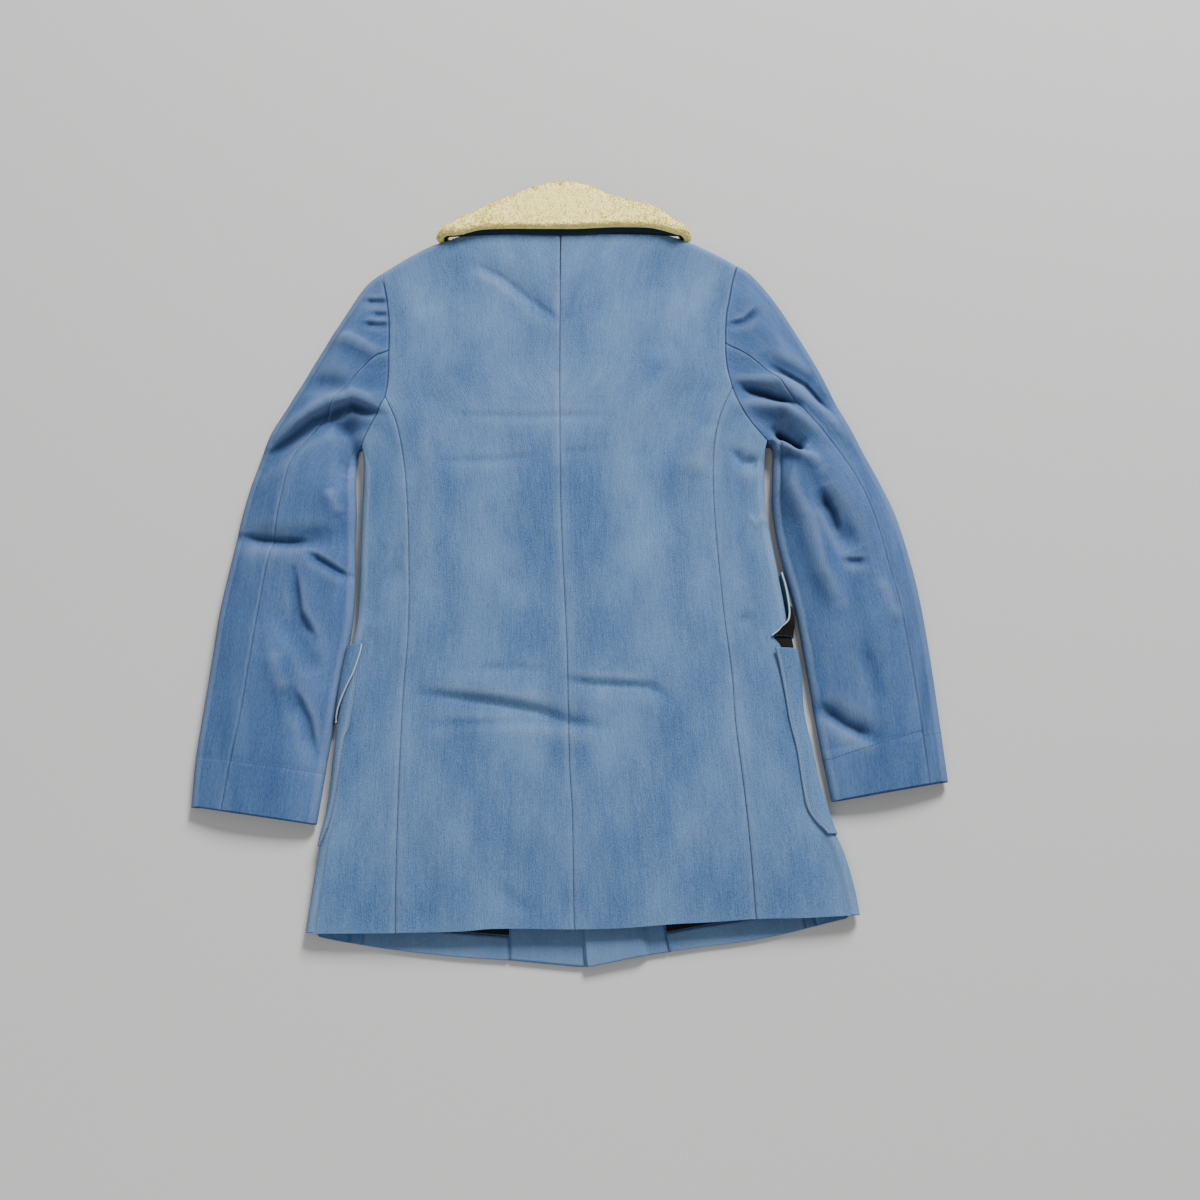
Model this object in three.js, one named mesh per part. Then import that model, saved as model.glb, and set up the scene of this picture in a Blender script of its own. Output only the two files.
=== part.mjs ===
// Denim car coat with a fleece collar, lying face down with its back up.
// Millimetres, +Z up, +Y towards the collar, +X to the coat's right side.
// The cloth is modelled as thin walls, one closed solid for each cut piece.
// Outlines are tables of plan points, and heights come from a crown and a list of folds.

import * as THREE from 'three';

// Cloth and seams
const DENIM = 2.0;
const FACING = 1.2;
const LINING = 0.8;
const SEAM_GAP = 0.3;
const LAYER_GAP = 0.3;
const PATCH_GAP = 0.45;
const PATCH_CLOTH = 1.8;
const PATCH_RISE = PATCH_GAP + PATCH_CLOTH;

// Rounded side edges of the flat coat and of the sleeves
const BODY_EDGE_ROUND = 9;
const SLEEVE_EDGE_ROUND = 8;
const SHOULDER_ROUND = 9;
const SIDE_SEAM_INSET = 42;
const FRONT_COLLAR_RISE = 9.8;
const LAP_SLACK = 2;

// Fleece collar
const FLEECE = 7.7;
const STAND_CLOTH = 1.6;
const STAND_ROUND = 6.2;
const FALL_GAP = 0.35;
const COLLAR_MIDDLE_X = -43;
const COLLAR_LEFT_TURN_X = -177.8;
const COLLAR_RIGHT_TURN_X = 91.8;
const COLLAR_MIDDLE_Z = FLEECE + STAND_ROUND + STAND_CLOTH + 2 * FALL_GAP;

// Patch pockets and flaps
const POCKET_UNDER_WIDTH = 100;
const FLAP_UNDER_WIDTH = 96;
const POCKET_GAPE = { left: 0.6, right: 2.6 };
const POCKET_GAPE_DEPTH = 22;
const FLAP_STAND_OFF = { left: 1.6, right: 5.5 };
const STAND_OFF_START = 12;
const STAND_OFF_SOFT = 16;
const POCKET_CORNER_NARROWING = 16;

// Zones lifted over what lies beneath: where each begins, ends and how softly
const COLLAR_ZONE = { left: -216, right: 130, across: 24, y: 270, along: 60 };
const LEFT_POCKET_ZONE = { sign: -1, x: -92, across: 30, low: -322, high: 8, soft: 30 };
const LEFT_FLAP_ZONE = { sign: -1, x: -92, across: 30, low: -200, high: 8, soft: 28 };
const RIGHT_PATCH_ZONE = { sign: 1, x: 34, across: 26, low: -296, high: 88, soft: 28 };

// How quickly the rows leave the hem's curve, bend to the armhole, and the crown falls to its edge
const HEM_FADE = 14;
const SIDE_HEM_FADE = 12;
const ARMHOLE_BEND = 8;
const CROWN_POWER = 2.4;
const TOP_BEND_START = 0.45;

// Sleeve rows over which the armhole's hold, the inner round and the outer round fade
const ARMHOLE_HOLD_ROWS = 2.4;
const INNER_ROUND_ROWS = 2.2;
const OUTER_ROUND_ROWS = 1.2;
const FOREARM_SEAM_SHARE = 0.3;

const DENIM_BODY = { color: 0x5b7c9c, roughness: 0.92, metalness: 0 };
const DENIM_SLEEVE = { color: 0x56799e, roughness: 0.92, metalness: 0 };
const DENIM_INSIDE = { color: 0x6685a3, roughness: 0.94, metalness: 0 };
const DENIM_SHADE = { color: 0x2f4b5e, roughness: 0.95, metalness: 0 };
const FLEECE_CREAM = { color: 0xe3d3ab, roughness: 1, metalness: 0 };
const LINING_DARK = { color: 0x1d1716, roughness: 0.8, metalness: 0 };

// Rows of the body from the hem (0) to the top of the side-back seam (1)
const LOW_ROWS = [
  0, 0.045, 0.1, 0.16, 0.215, 0.265, 0.31, 0.345, 0.378, 0.41, 0.445, 0.49,
  0.545, 0.605, 0.665, 0.725, 0.785, 0.835, 0.88, 0.92, 0.96, 1,
];

// Side-back seams
const SEAM_LEFT = [
  { y: -346, x: -201 }, { y: -238, x: -204 }, { y: -120, x: -205 }, { y: -37, x: -203 },
  { y: 49, x: -207 }, { y: 100, x: -211 }, { y: 155, x: -218 }, { y: 202, x: -229 }, { y: 234, x: -243 },
];
const SEAM_RIGHT = [
  { y: -335, x: 154 }, { y: -280, x: 152 }, { y: -220, x: 148 }, { y: -140, x: 140 }, { y: -89, x: 138 },
  { y: -27, x: 132 }, { y: 49, x: 127 }, { y: 95, x: 125 }, { y: 143, x: 125 }, { y: 179, x: 128 },
  { y: 213, x: 136 }, { y: 246, x: 150 },
];

// Side edges of the coat, hem to underarm
const EDGE_LEFT = [
  { y: -348, x: -291 }, { y: -295, x: -286 }, { y: -259, x: -282 }, { y: -226, x: -276 },
  { y: -177, x: -273 }, { y: -143, x: -271 }, { y: -96, x: -268 }, { y: -67, x: -265 },
  { y: -29, x: -260 }, { y: 10, x: -260 }, { y: 54, x: -261.5 }, { y: 90, x: -262.5 },
  { y: 130, x: -263.5 }, { y: 160, x: -265 }, { y: 178, x: -267 },
];
const EDGE_RIGHT = [
  { y: -331, x: 258 }, { y: -303, x: 254 }, { y: -271, x: 246 }, { y: -246, x: 236 },
  { y: -226, x: 230 }, { y: -200, x: 223 }, { y: -167, x: 218 }, { y: -127, x: 211 },
  { y: -85, x: 210 }, { y: -62, x: 206 }, { y: -1, x: 197 }, { y: 32, x: 192 },
  { y: 92, x: 184 }, { y: 138, x: 183.5 }, { y: 165, x: 185 }, { y: 182, x: 187 },
];

// Armholes from the underarm up to the side-back seam, then on to the shoulder
const ARM_LOW_LEFT = [
  { x: -267, y: 178 }, { x: -261, y: 195 }, { x: -254, y: 210 }, { x: -248, y: 223 }, { x: -243, y: 234 },
];
const ARM_HIGH_LEFT = [
  { x: -243, y: 234 }, { x: -241, y: 252 }, { x: -241, y: 272 }, { x: -242, y: 294 }, { x: -243, y: 316 },
  { x: -245, y: 338 }, { x: -248, y: 358 }, { x: -252, y: 377 }, { x: -256, y: 393 },
];
const ARM_LOW_RIGHT = [
  { x: 187, y: 182 }, { x: 178, y: 194 }, { x: 168, y: 207 }, { x: 158, y: 224 }, { x: 150, y: 246 },
];
const ARM_HIGH_RIGHT = [
  { x: 150, y: 246 }, { x: 146, y: 264 }, { x: 144, y: 283 }, { x: 144, y: 303 }, { x: 145, y: 323 },
  { x: 147, y: 344 }, { x: 151, y: 364 }, { x: 155, y: 385 }, { x: 160, y: 404 },
];
const SHOULDER_WAY_LEFT = { x: -0.3, y: 0.954 };
const SHOULDER_WAY_RIGHT = { x: 0.28, y: 0.96 };
const ELBOW_SEAM_AT_ARMHOLE = 3;

// Top edges, shoulder to centre, as (x, y) and how much the edge rounds down (1 shoulder, 0 neck)
const BACK_TOP_LEFT = [
  { s: 0, x: -258.7, y: 401.6, round: 1 }, { s: 0.2, x: -217, y: 430, round: 1 },
  { s: 0.34, x: -187, y: 442.5, round: 1 }, { s: 0.44, x: -166, y: 447, round: 0 },
  { s: 0.7, x: -112, y: 450, round: 0 }, { s: 1, x: -47.3, y: 450, round: 0 },
];
const BACK_TOP_RIGHT = [
  { s: 0, x: 162.5, y: 412.6, round: 1 }, { s: 0.2, x: 134, y: 430, round: 1 },
  { s: 0.34, x: 106, y: 442, round: 1 }, { s: 0.44, x: 82, y: 447.5, round: 0 },
  { s: 0.7, x: 20, y: 450.5, round: 0 }, { s: 1, x: -46.7, y: 450, round: 0 },
];
const FRONT_TOP_LEFT = [
  { s: 0, x: -258.7, y: 401.6, round: 1 }, { s: 0.2, x: -217, y: 430, round: 1 },
  { s: 0.34, x: -187, y: 442.5, round: 1 }, { s: 0.44, x: -166, y: 436, round: 0 },
  { s: 0.7, x: -104, y: 408, round: 0 }, { s: 1, x: -12, y: 398, round: 0 },
];
const FRONT_TOP_RIGHT = [
  { s: 0, x: 162.5, y: 412.6, round: 1 }, { s: 0.2, x: 134, y: 430, round: 1 },
  { s: 0.34, x: 106, y: 442, round: 1 }, { s: 0.44, x: 82, y: 436, round: 0 },
  { s: 0.7, x: 18, y: 408, round: 0 }, { s: 1, x: -58, y: 398, round: 0 },
];
const CENTRE_BACK = [
  { y: -345, x: -25 }, { y: -220, x: -28 }, { y: -180, x: -31 }, { y: -53, x: -35 }, { y: 37, x: -40 },
  { y: 103, x: -43 }, { y: 204, x: -45 }, { y: 279, x: -46 }, { y: 450, x: -47 },
];

// Hem lines
const HEM_BACK = [
  { x: -291, y: -349 }, { x: -203, y: -348.5 }, { x: -137, y: -347 }, { x: -104, y: -344.5 },
  { x: -26, y: -345 }, { x: 21, y: -344 }, { x: 73, y: -340 }, { x: 113, y: -338 }, { x: 156, y: -335 },
  { x: 202, y: -334 },
  { x: 258, y: -331 },
];
const HEM_FRONT = [
  { x: -291, y: -349 }, { x: -256, y: -356 }, { x: -195, y: -365 }, { x: -134, y: -371 }, { x: -88, y: -374 },
  { x: -33, y: -379 }, { x: -14, y: -380 }, { x: 5, y: -377 }, { x: 41, y: -370 }, { x: 68, y: -366 },
  { x: 102, y: -361 }, { x: 143, y: -356 }, { x: 182, y: -349 }, { x: 224, y: -339 }, { x: 258, y: -331 },
];

// Front closing edges, hem to neck
const CLOSING_LEFT = [{ y: -373, x: 31 }, { y: 398, x: -12 }];
const CLOSING_RIGHT = [{ y: -380, x: -14 }, { y: 398, x: -58 }];

// Height of the rounded edges and rise of the crown, hem to neck
const BODY_HEIGHT = [
  { y: -380, edge: 11.5, crown: 3 }, { y: -345, edge: 12, crown: 4 }, { y: -250, edge: 15, crown: 7 },
  { y: -100, edge: 17, crown: 9 }, { y: 50, edge: 18, crown: 11 }, { y: 200, edge: 18.5, crown: 11.5 },
  { y: 300, edge: 18, crown: 10 }, { y: 380, edge: 18, crown: 6 }, { y: 450, edge: 21, crown: 1.5 },
];

// Plan limits of the crown, widest at the armholes where the sleeves carry it on
const CROWN_REACH = [
  { y: -348, left: -291, right: 258 }, { y: -100, left: -268, right: 210 }, { y: 60, left: -262, right: 190 },
  { y: 178, left: -268, right: 188 }, { y: 230, left: -288, right: 210 }, { y: 300, left: -300, right: 216 },
  { y: 360, left: -284, right: 192 }, { y: 400, left: -262, right: 166 }, { y: 450, left: -262, right: 166 },
];

// Sleeve sections from the armhole to the cuff.
// Inner and outer edge points, the elbow seam's share of the width, edge height and crown.
const SLEEVE_LEFT = [
  { ix: -267.5, iy: 177.6, ox: -259, oy: 402, seam: 0.5, edge: 18, crown: 6 },
  { ix: -272, iy: 174.5, ox: -279, oy: 382, seam: 0.5, edge: 17, crown: 9 },
  { ix: -274, iy: 162, ox: -305, oy: 333, seam: 0.49, edge: 16, crown: 12 },
  { ix: -273.5, iy: 146, ox: -330, oy: 282, seam: 0.525, edge: 16, crown: 13 },
  { ix: -271.5, iy: 124, ox: -353, oy: 233, seam: 0.625, edge: 16, crown: 13 },
  { ix: -269, iy: 96, ox: -373, oy: 188, seam: 0.72, edge: 16, crown: 13 },
  { ix: -268, iy: 66, ox: -387, oy: 138, seam: 0.71, edge: 15, crown: 13 },
  { ix: -266, iy: 34, ox: -396, oy: 88, seam: 0.7, edge: 15, crown: 12 },
  { ix: -264.5, iy: 1, ox: -402, oy: 40, seam: 0.715, edge: 15, crown: 11 },
  { ix: -266, iy: -40, ox: -409, oy: -15, seam: 0.71, edge: 14, crown: 10 },
  { ix: -272, iy: -85, ox: -411.5, oy: -65, seam: 0.715, edge: 14, crown: 9 },
  { ix: -278, iy: -140, ox: -415, oy: -122, seam: 0.72, edge: 13, crown: 7 },
  { ix: -283, iy: -192, ox: -418, oy: -175, seam: 0.745, edge: 12, crown: 5 },
  { ix: -288, iy: -242, ox: -417.5, oy: -225, seam: 0.78, edge: 11, crown: 4 },
];
const SLEEVE_RIGHT = [
  { ix: 187.5, iy: 181.6, ox: 162.7, oy: 413, seam: 0.5, edge: 18, crown: 6 },
  { ix: 192.5, iy: 178.5, ox: 180, oy: 400, seam: 0.48, edge: 17, crown: 9 },
  { ix: 194, iy: 167, ox: 205, oy: 366, seam: 0.46, edge: 16, crown: 12 },
  { ix: 193, iy: 151, ox: 230, oy: 320, seam: 0.505, edge: 16, crown: 13 },
  { ix: 191.5, iy: 130, ox: 255, oy: 268, seam: 0.614, edge: 16, crown: 13 },
  { ix: 190.5, iy: 103, ox: 275, oy: 220, seam: 0.743, edge: 16, crown: 13 },
  { ix: 193, iy: 75, ox: 292, oy: 180, seam: 0.83, edge: 15, crown: 13 },
  { ix: 197, iy: 47, ox: 311, oy: 137, seam: 0.865, edge: 15, crown: 12 },
  { ix: 203, iy: 19, ox: 326, oy: 97, seam: 0.85, edge: 15, crown: 11 },
  { ix: 210, iy: -15, ox: 337, oy: 50, seam: 0.84, edge: 14, crown: 10 },
  { ix: 216, iy: -60, ox: 345, oy: 0, seam: 0.855, edge: 14, crown: 9 },
  { ix: 222, iy: -112, ox: 350.5, oy: -62, seam: 0.87, edge: 13, crown: 7 },
  { ix: 229, iy: -168, ox: 354.5, oy: -130, seam: 0.88, edge: 12, crown: 5 },
  { ix: 237, iy: -219, ox: 358, oy: -199, seam: 0.88, edge: 11, crown: 4 },
];
const SLEEVE_ROWS = [
  0, 0.3, 0.65, 1, 1.4, 1.8, 2.2, 2.6, 3, 3.4, 3.8, 4.2, 4.6, 5, 5.5, 6.1, 6.8, 7.6, 8.5, 9.5, 10.5, 11.6, 13,
];

// Main folds: a path in plan, the height (negative for a trough) and the half width
const FOLDS = [
  { name: 'right blade trough', path: [[130, 252], [92, 208], [61, 159], [64, 110], [70, 58]], h: -5, w: 26 },
  { name: 'right blade ridge', path: [[127, 200], [112, 165], [101, 135]], h: 3, w: 15 },
  { name: 'pull from the collar', path: [[-145, 409], [-116, 393], [-81, 361], [-48, 331]], h: -2.2, w: 13 },
  { name: 'band beside the left seam', path: [[-196, 200], [-190, 110], [-190, 30]], h: 1.8, w: 12 },
  { name: 'waist trough', path: [[-181, -112], [-107, -123], [-68, -131], [1, -147]], h: -2.8, w: 10 },
  { name: 'waist ridge', path: [[-176, -94], [-107, -104], [-40, -120]], h: 1.6, w: 12 },
  { name: 'right waist trough', path: [[-33, -97], [-9, -102], [51, -105], [66, -113]], h: -2, w: 9 },
  { name: 'left side trough', path: [[-216, 38], [-234, 0], [-246, -32]], h: -3, w: 12 },
  { name: 'right underarm trough', path: [[149, 168], [160, 155], [176, 156]], h: -3, w: 10 },
  { name: 'left hem trough', path: [[-187, -260], [-175, -310], [-171, -346]], h: -2, w: 14 },
  { name: 'left sleeve overlap', path: [[-247, 225], [-280, 235], [-321, 215], [-368, 180]], h: 6, w: 13 },
  { name: 'below the overlap', path: [[-258, 200], [-300, 203], [-338, 180], [-372, 150]], h: -4, w: 12 },
  { name: 'left cap ridge', path: [[-304, 316], [-280, 304], [-250, 288]], h: 3.4, w: 11 },
  { name: 'left cap trough', path: [[-328, 254], [-305, 248], [-281, 240]], h: -3.2, w: 13 },
  { name: 'left underarm hollow', path: [[-291, 206], [-281, 176], [-276, 140]], h: -6, w: 12 },
  { name: 'left elbow trough', path: [[-392, 66], [-340, 60], [-290, 65]], h: -3.4, w: 13 },
  { name: 'left forearm trough', path: [[-333, -26], [-312, -58], [-299, -88]], h: -2.4, w: 11 },
  { name: 'right cap trough', path: [[192, 280], [235, 256], [264, 219]], h: -4, w: 10 },
  { name: 'right first roll', path: [[150, 259], [204, 249], [249, 212], [282, 178]], h: 5, w: 11 },
  { name: 'right second roll', path: [[158, 227], [209, 217], [245, 186]], h: 4.2, w: 9 },
  { name: 'right slash', path: [[200, 196], [214, 182], [228, 168]], h: -6, w: 8 },
  { name: 'right third roll', path: [[196, 182], [226, 164], [242, 146]], h: 3.6, w: 9 },
  { name: 'long ridge', path: [[200, 158], [210, 120], [225, 85], [238, 27], [253, -8]], h: 4.4, w: 12 },
  { name: 'right elbow trough', path: [[242, 122], [258, 86], [274, 50]], h: -5, w: 13 },
  { name: 'right forearm trough', path: [[231, -119], [257, -139], [282, -152]], h: -2.4, w: 10 },
];

// Patch pockets: rows from the mouth down, with the visible seam's x
const POCKET_LEFT = [
  { y: -60, x: -252 }, { y: -80, x: -254 }, { y: -110, x: -256 }, { y: -143, x: -259 }, { y: -157, x: -263 },
  { y: -191, x: -266 }, { y: -218, x: -268.5 },
  { y: -240, x: -272 }, { y: -256, x: -277 }, { y: -264, x: -280 },
];
const POCKET_RIGHT = [
  { y: -60, x: 184 }, { y: -80, x: 188 }, { y: -110, x: 192.5 }, { y: -138, x: 196 }, { y: -168, x: 202 },
  { y: -203, x: 205.5 }, { y: -226, x: 209 }, { y: -240, x: 217 }, { y: -248, x: 225 }, { y: -252, x: 229 },
];

// Flaps: rows along the visible end, with the end's x and how far it stands off the cloth
const FLAP_LEFT = [
  { y: -56, x: -251, off: 0.6 }, { y: -66, x: -252.5, off: 0.6 }, { y: -80, x: -256, off: 0.8 },
  { y: -100, x: -262, off: 1 }, { y: -122, x: -268, off: 0.8 }, { y: -138, x: -271, off: 0.4 },
];
const FLAP_RIGHT = [
  { y: 26, x: 192, off: 0.6 }, { y: 10, x: 194, off: 0.9 }, { y: -8, x: 196, off: 1 },
  { y: -22, x: 197, off: 1 },
  { y: -32, x: 196, off: 0.8 }, { y: -40, x: 190, off: 0.3 }, { y: -46, x: 182, off: 0 },
];

// Collar: roll line and lower edge of the fall across the back, then round each end to the front
const COLLAR_BACK = [
  { x: -177.8, roll: 467, edge: 446, seam: 447 }, { x: -167, roll: 474, edge: 447, seam: 448 },
  { x: -142, roll: 483.5, edge: 454, seam: 450 }, { x: -122, roll: 494, edge: 455.5, seam: 450.5 },
  { x: -102, roll: 505, edge: 456, seam: 451 }, { x: -81, roll: 516, edge: 456, seam: 451 },
  { x: -55, roll: 524.5, edge: 456, seam: 451 }, { x: -29, roll: 525, edge: 456, seam: 451 },
  { x: -7, roll: 516.5, edge: 457, seam: 451 }, { x: 15, roll: 503, edge: 458, seam: 451 },
  { x: 36, roll: 494, edge: 458, seam: 451 }, { x: 59, roll: 488.5, edge: 457, seam: 450.5 },
  { x: 75, roll: 482, edge: 453, seam: 449.5 }, { x: 91.8, roll: 470, edge: 447, seam: 448 },
];
const COLLAR_FRONT = [
  { x: -177.8, roll: 453, edge: 443, seam: 440.5 }, { x: -150, roll: 445, edge: 414, seam: 431 },
  { x: -104, roll: 431, edge: 386, seam: 412 }, { x: -48, roll: 423, edge: 372, seam: 407 },
  { x: -38, roll: 423, edge: 372, seam: 407 }, { x: 18, roll: 431, edge: 386, seam: 412 },
  { x: 64, roll: 445, edge: 414, seam: 431 }, { x: 91.8, roll: 453, edge: 443, seam: 440.5 },
];
const COLLAR_END = { roll: 460, edge: 445.8, seam: 444.6 };
const COLLAR_SPLIT_HALF = 4;

const SIDES = {
  left: {
    sign: -1, seam: SEAM_LEFT, edge: EDGE_LEFT, armLow: ARM_LOW_LEFT, armHigh: ARM_HIGH_LEFT,
    shoulderWay: SHOULDER_WAY_LEFT, backTop: BACK_TOP_LEFT, frontTop: FRONT_TOP_LEFT, closing: CLOSING_LEFT,
    sleeve: SLEEVE_LEFT, pocket: POCKET_LEFT, flap: FLAP_LEFT,
  },
  right: {
    sign: 1, seam: SEAM_RIGHT, edge: EDGE_RIGHT, armLow: ARM_LOW_RIGHT, armHigh: ARM_HIGH_RIGHT,
    shoulderWay: SHOULDER_WAY_RIGHT, backTop: BACK_TOP_RIGHT, frontTop: FRONT_TOP_RIGHT,
    closing: CLOSING_RIGHT,
    sleeve: SLEEVE_RIGHT, pocket: POCKET_RIGHT, flap: FLAP_RIGHT,
  },
};

// Small number helpers
const mix = (a, b, t) => a + (b - a) * t;
const clamp01 = (t) => Math.min(1, Math.max(0, t));
const ease = (t) => {
  const c = clamp01(t);
  return c * c * (3 - 2 * c);
};
const band = (v, low, high, soft) => ease((v - low) / soft) * ease((high - v) / soft);
const collarRise = (x, y) => band(x, COLLAR_ZONE.left, COLLAR_ZONE.right, COLLAR_ZONE.across)
  * ease((y - COLLAR_ZONE.y) / COLLAR_ZONE.along);
const patchShare = (zone, x, y) => ease(zone.sign * (x - zone.x) / zone.across)
  * band(y, zone.low, zone.high, zone.soft);
const steps = (n) => Array.from({ length: n + 1 }, (_, i) => i / n);
const vec = (x, y, z) => new THREE.Vector3(x, y, z);

// Smooth value read from a table whose key column rises or falls
function read(table, key, value, at) {
  const rising = table[table.length - 1][key] > table[0][key];
  const rows = rising ? table : [...table].reverse();
  const last = rows.length - 1;
  if (at <= rows[0][key]) return rows[0][value];
  if (at >= rows[last][key]) return rows[last][value];
  let i = 0;
  while (rows[i + 1][key] < at) i += 1;
  const slope = (k) => {
    const a = rows[Math.max(0, k - 1)];
    const b = rows[Math.min(last, k + 1)];
    return (b[value] - a[value]) / (b[key] - a[key]);
  };
  const width = rows[i + 1][key] - rows[i][key];
  const t = (at - rows[i][key]) / width;
  const t2 = t * t;
  const t3 = t2 * t;
  return (2 * t3 - 3 * t2 + 1) * rows[i][value] + (t3 - 2 * t2 + t) * width * slope(i)
    + (3 * t2 - 2 * t3) * rows[i + 1][value] + (t3 - t2) * width * slope(i + 1);
}

// Height that the folds add at a plan point
function foldHeight(x, y) {
  let sum = 0;
  for (const fold of FOLDS) {
    const legs = fold.path.length - 1;
    let best = Infinity;
    let along = 0;
    for (let i = 0; i < legs; i += 1) {
      const [ax, ay] = fold.path[i];
      const [bx, by] = fold.path[i + 1];
      const t = clamp01(((x - ax) * (bx - ax) + (y - ay) * (by - ay)) / ((bx - ax) ** 2 + (by - ay) ** 2));
      const away = Math.hypot(x - mix(ax, bx, t), y - mix(ay, by, t));
      if (away < best) {
        best = away;
        along = (i + t) / legs;
      }
    }
    const taper = Math.min(1, 0.3 + 4 * along * (1 - along));
    sum += fold.h * taper * Math.exp(-((best / fold.w) ** 2));
  }
  return sum;
}

// Top of the coat's upper layer at a plan point
function bodyTop(x, y) {
  const middle = read(CENTRE_BACK, 'y', 'x', y);
  const reach = x < middle ? read(CROWN_REACH, 'y', 'left', y) : read(CROWN_REACH, 'y', 'right', y);
  const out = clamp01((x - middle) / (reach - middle));
  const dome = 1 - out ** CROWN_POWER;
  return read(BODY_HEIGHT, 'y', 'edge', y) + read(BODY_HEIGHT, 'y', 'crown', y) * dome + foldHeight(x, y);
}

// Height of the underside where pockets, flaps and the front of the collar lie beneath it
function bodyBottom(x, y) {
  const patches = [LEFT_POCKET_ZONE, LEFT_FLAP_ZONE, RIGHT_PATCH_ZONE];
  const share = patches.reduce((sum, zone) => sum + patchShare(zone, x, y), 0);
  return FRONT_COLLAR_RISE * collarRise(x, y) + PATCH_RISE * share;
}

// Point on the coat's surface: wrap is the distance over the surface from the side edge,
// positive on top and negative underneath, and out is the distance moved off the surface.
function bodyWrap(side, y, wrap, out) {
  const { sign, edge } = SIDES[side];
  const armpit = edge[edge.length - 1].y;
  const round = BODY_EDGE_ROUND * (1 - ease((y - armpit + 34) / 34));
  const centreX = read(edge, 'y', 'x', y) - sign * round;
  const top = bodyTop(centreX, y);
  const bottom = bodyBottom(centreX, y);
  const quarter = edgeQuarter();
  if (wrap > quarter) {
    const x = centreX - sign * (wrap - quarter);
    return vec(x, y, bodyTop(x, y) + out);
  }
  if (wrap < -quarter) {
    const x = centreX - sign * (-wrap - quarter);
    return vec(x, y, bodyBottom(x, y) - out);
  }
  const angle = (wrap / quarter) * Math.PI / 2;
  const half = (top - bottom) / 2;
  const x = centreX + sign * (round + out) * Math.cos(angle);
  return vec(x, y, (top + bottom) / 2 + (half + out) * Math.sin(angle));
}

function edgeQuarter() {
  return BODY_EDGE_ROUND * Math.PI / 2;
}

// Wrap distance of a plan x on the top of the coat
function wrapAt(side, y, x) {
  const { sign, edge } = SIDES[side];
  const inward = (read(edge, 'y', 'x', y) - x) * sign;
  if (inward >= BODY_EDGE_ROUND) return edgeQuarter() + inward - BODY_EDGE_ROUND;
  return edgeQuarter() * Math.acos(1 - Math.max(0, inward) / BODY_EDGE_ROUND) / (Math.PI / 2);
}

// Closed wall between an outer and an inner grid of points
function closeWall(outer, inner) {
  const rows = outer.length;
  const cols = outer[0].length;
  const points = [...outer.flat(), ...inner.flat()];
  const at = (layer, r, c) => (layer * rows + r) * cols + c;
  const index = [];
  const quad = (a, b, c, d) => index.push(a, b, c, a, c, d);
  for (let r = 0; r < rows - 1; r += 1) {
    for (let c = 0; c < cols - 1; c += 1) {
      quad(at(0, r, c), at(0, r, c + 1), at(0, r + 1, c + 1), at(0, r + 1, c));
      quad(at(1, r, c), at(1, r + 1, c), at(1, r + 1, c + 1), at(1, r, c + 1));
    }
    quad(at(0, r, 0), at(0, r + 1, 0), at(1, r + 1, 0), at(1, r, 0));
    quad(at(0, r, cols - 1), at(1, r, cols - 1), at(1, r + 1, cols - 1), at(0, r + 1, cols - 1));
  }
  for (let c = 0; c < cols - 1; c += 1) {
    quad(at(0, 0, c), at(1, 0, c), at(1, 0, c + 1), at(0, 0, c + 1));
    quad(at(0, rows - 1, c), at(0, rows - 1, c + 1), at(1, rows - 1, c + 1), at(1, rows - 1, c));
  }
  return solidGeometry(points, index);
}

// Geometry with its faces turned outwards
function solidGeometry(points, index) {
  let volume = 0;
  for (let i = 0; i < index.length; i += 3) {
    const [a, b, c] = [points[index[i]], points[index[i + 1]], points[index[i + 2]]];
    volume += a.dot(b.clone().cross(c));
  }
  if (volume < 0) {
    for (let i = 0; i < index.length; i += 3) [index[i + 1], index[i + 2]] = [index[i + 2], index[i + 1]];
  }
  const geometry = new THREE.BufferGeometry();
  geometry.setAttribute('position', new THREE.Float32BufferAttribute(points.flatMap((p) => p.toArray()), 3));
  geometry.setIndex(index);
  geometry.computeVertexNormals();
  return geometry;
}

// Draws the border of a grid in by half the seam gap
function insetGrid(grid) {
  const last = grid.length - 1;
  const end = grid[0].length - 1;
  const move = (point, towards) => point.clone().add(
    towards.clone().sub(point).setLength(SEAM_GAP / 2),
  );
  const result = grid.map((row) => row.map((p) => p.clone()));
  for (let c = 0; c <= end; c += 1) {
    result[0][c] = move(grid[0][c], grid[1][c]);
    result[last][c] = move(grid[last][c], grid[last - 1][c]);
  }
  for (let r = 0; r <= last; r += 1) {
    result[r][0] = move(result[r][0], grid[r][1]);
    result[r][end] = move(result[r][end], grid[r][end - 1]);
  }
  return result;
}

function clothPiece(name, look, gridAt, thickness) {
  const geometry = closeWall(insetGrid(gridAt(0)), insetGrid(gridAt(-thickness)));
  return namedMesh(name, look, geometry);
}

function namedMesh(name, look, geometry) {
  const mesh = new THREE.Mesh(geometry, new THREE.MeshStandardMaterial({ ...look, side: THREE.FrontSide }));
  mesh.name = name;
  return mesh;
}

// Plan points of the side-back seam and of the side edge at a row of the lower body
function seamPoint(side, row) {
  const { seam } = SIDES[side];
  const y = mix(seam[0].y, seam[seam.length - 1].y, row);
  return { x: read(seam, 'y', 'x', y), y };
}

function edgeRowY(side, row) {
  const { edge } = SIDES[side];
  return mix(edge[0].y, edge[edge.length - 1].y, row);
}

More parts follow.
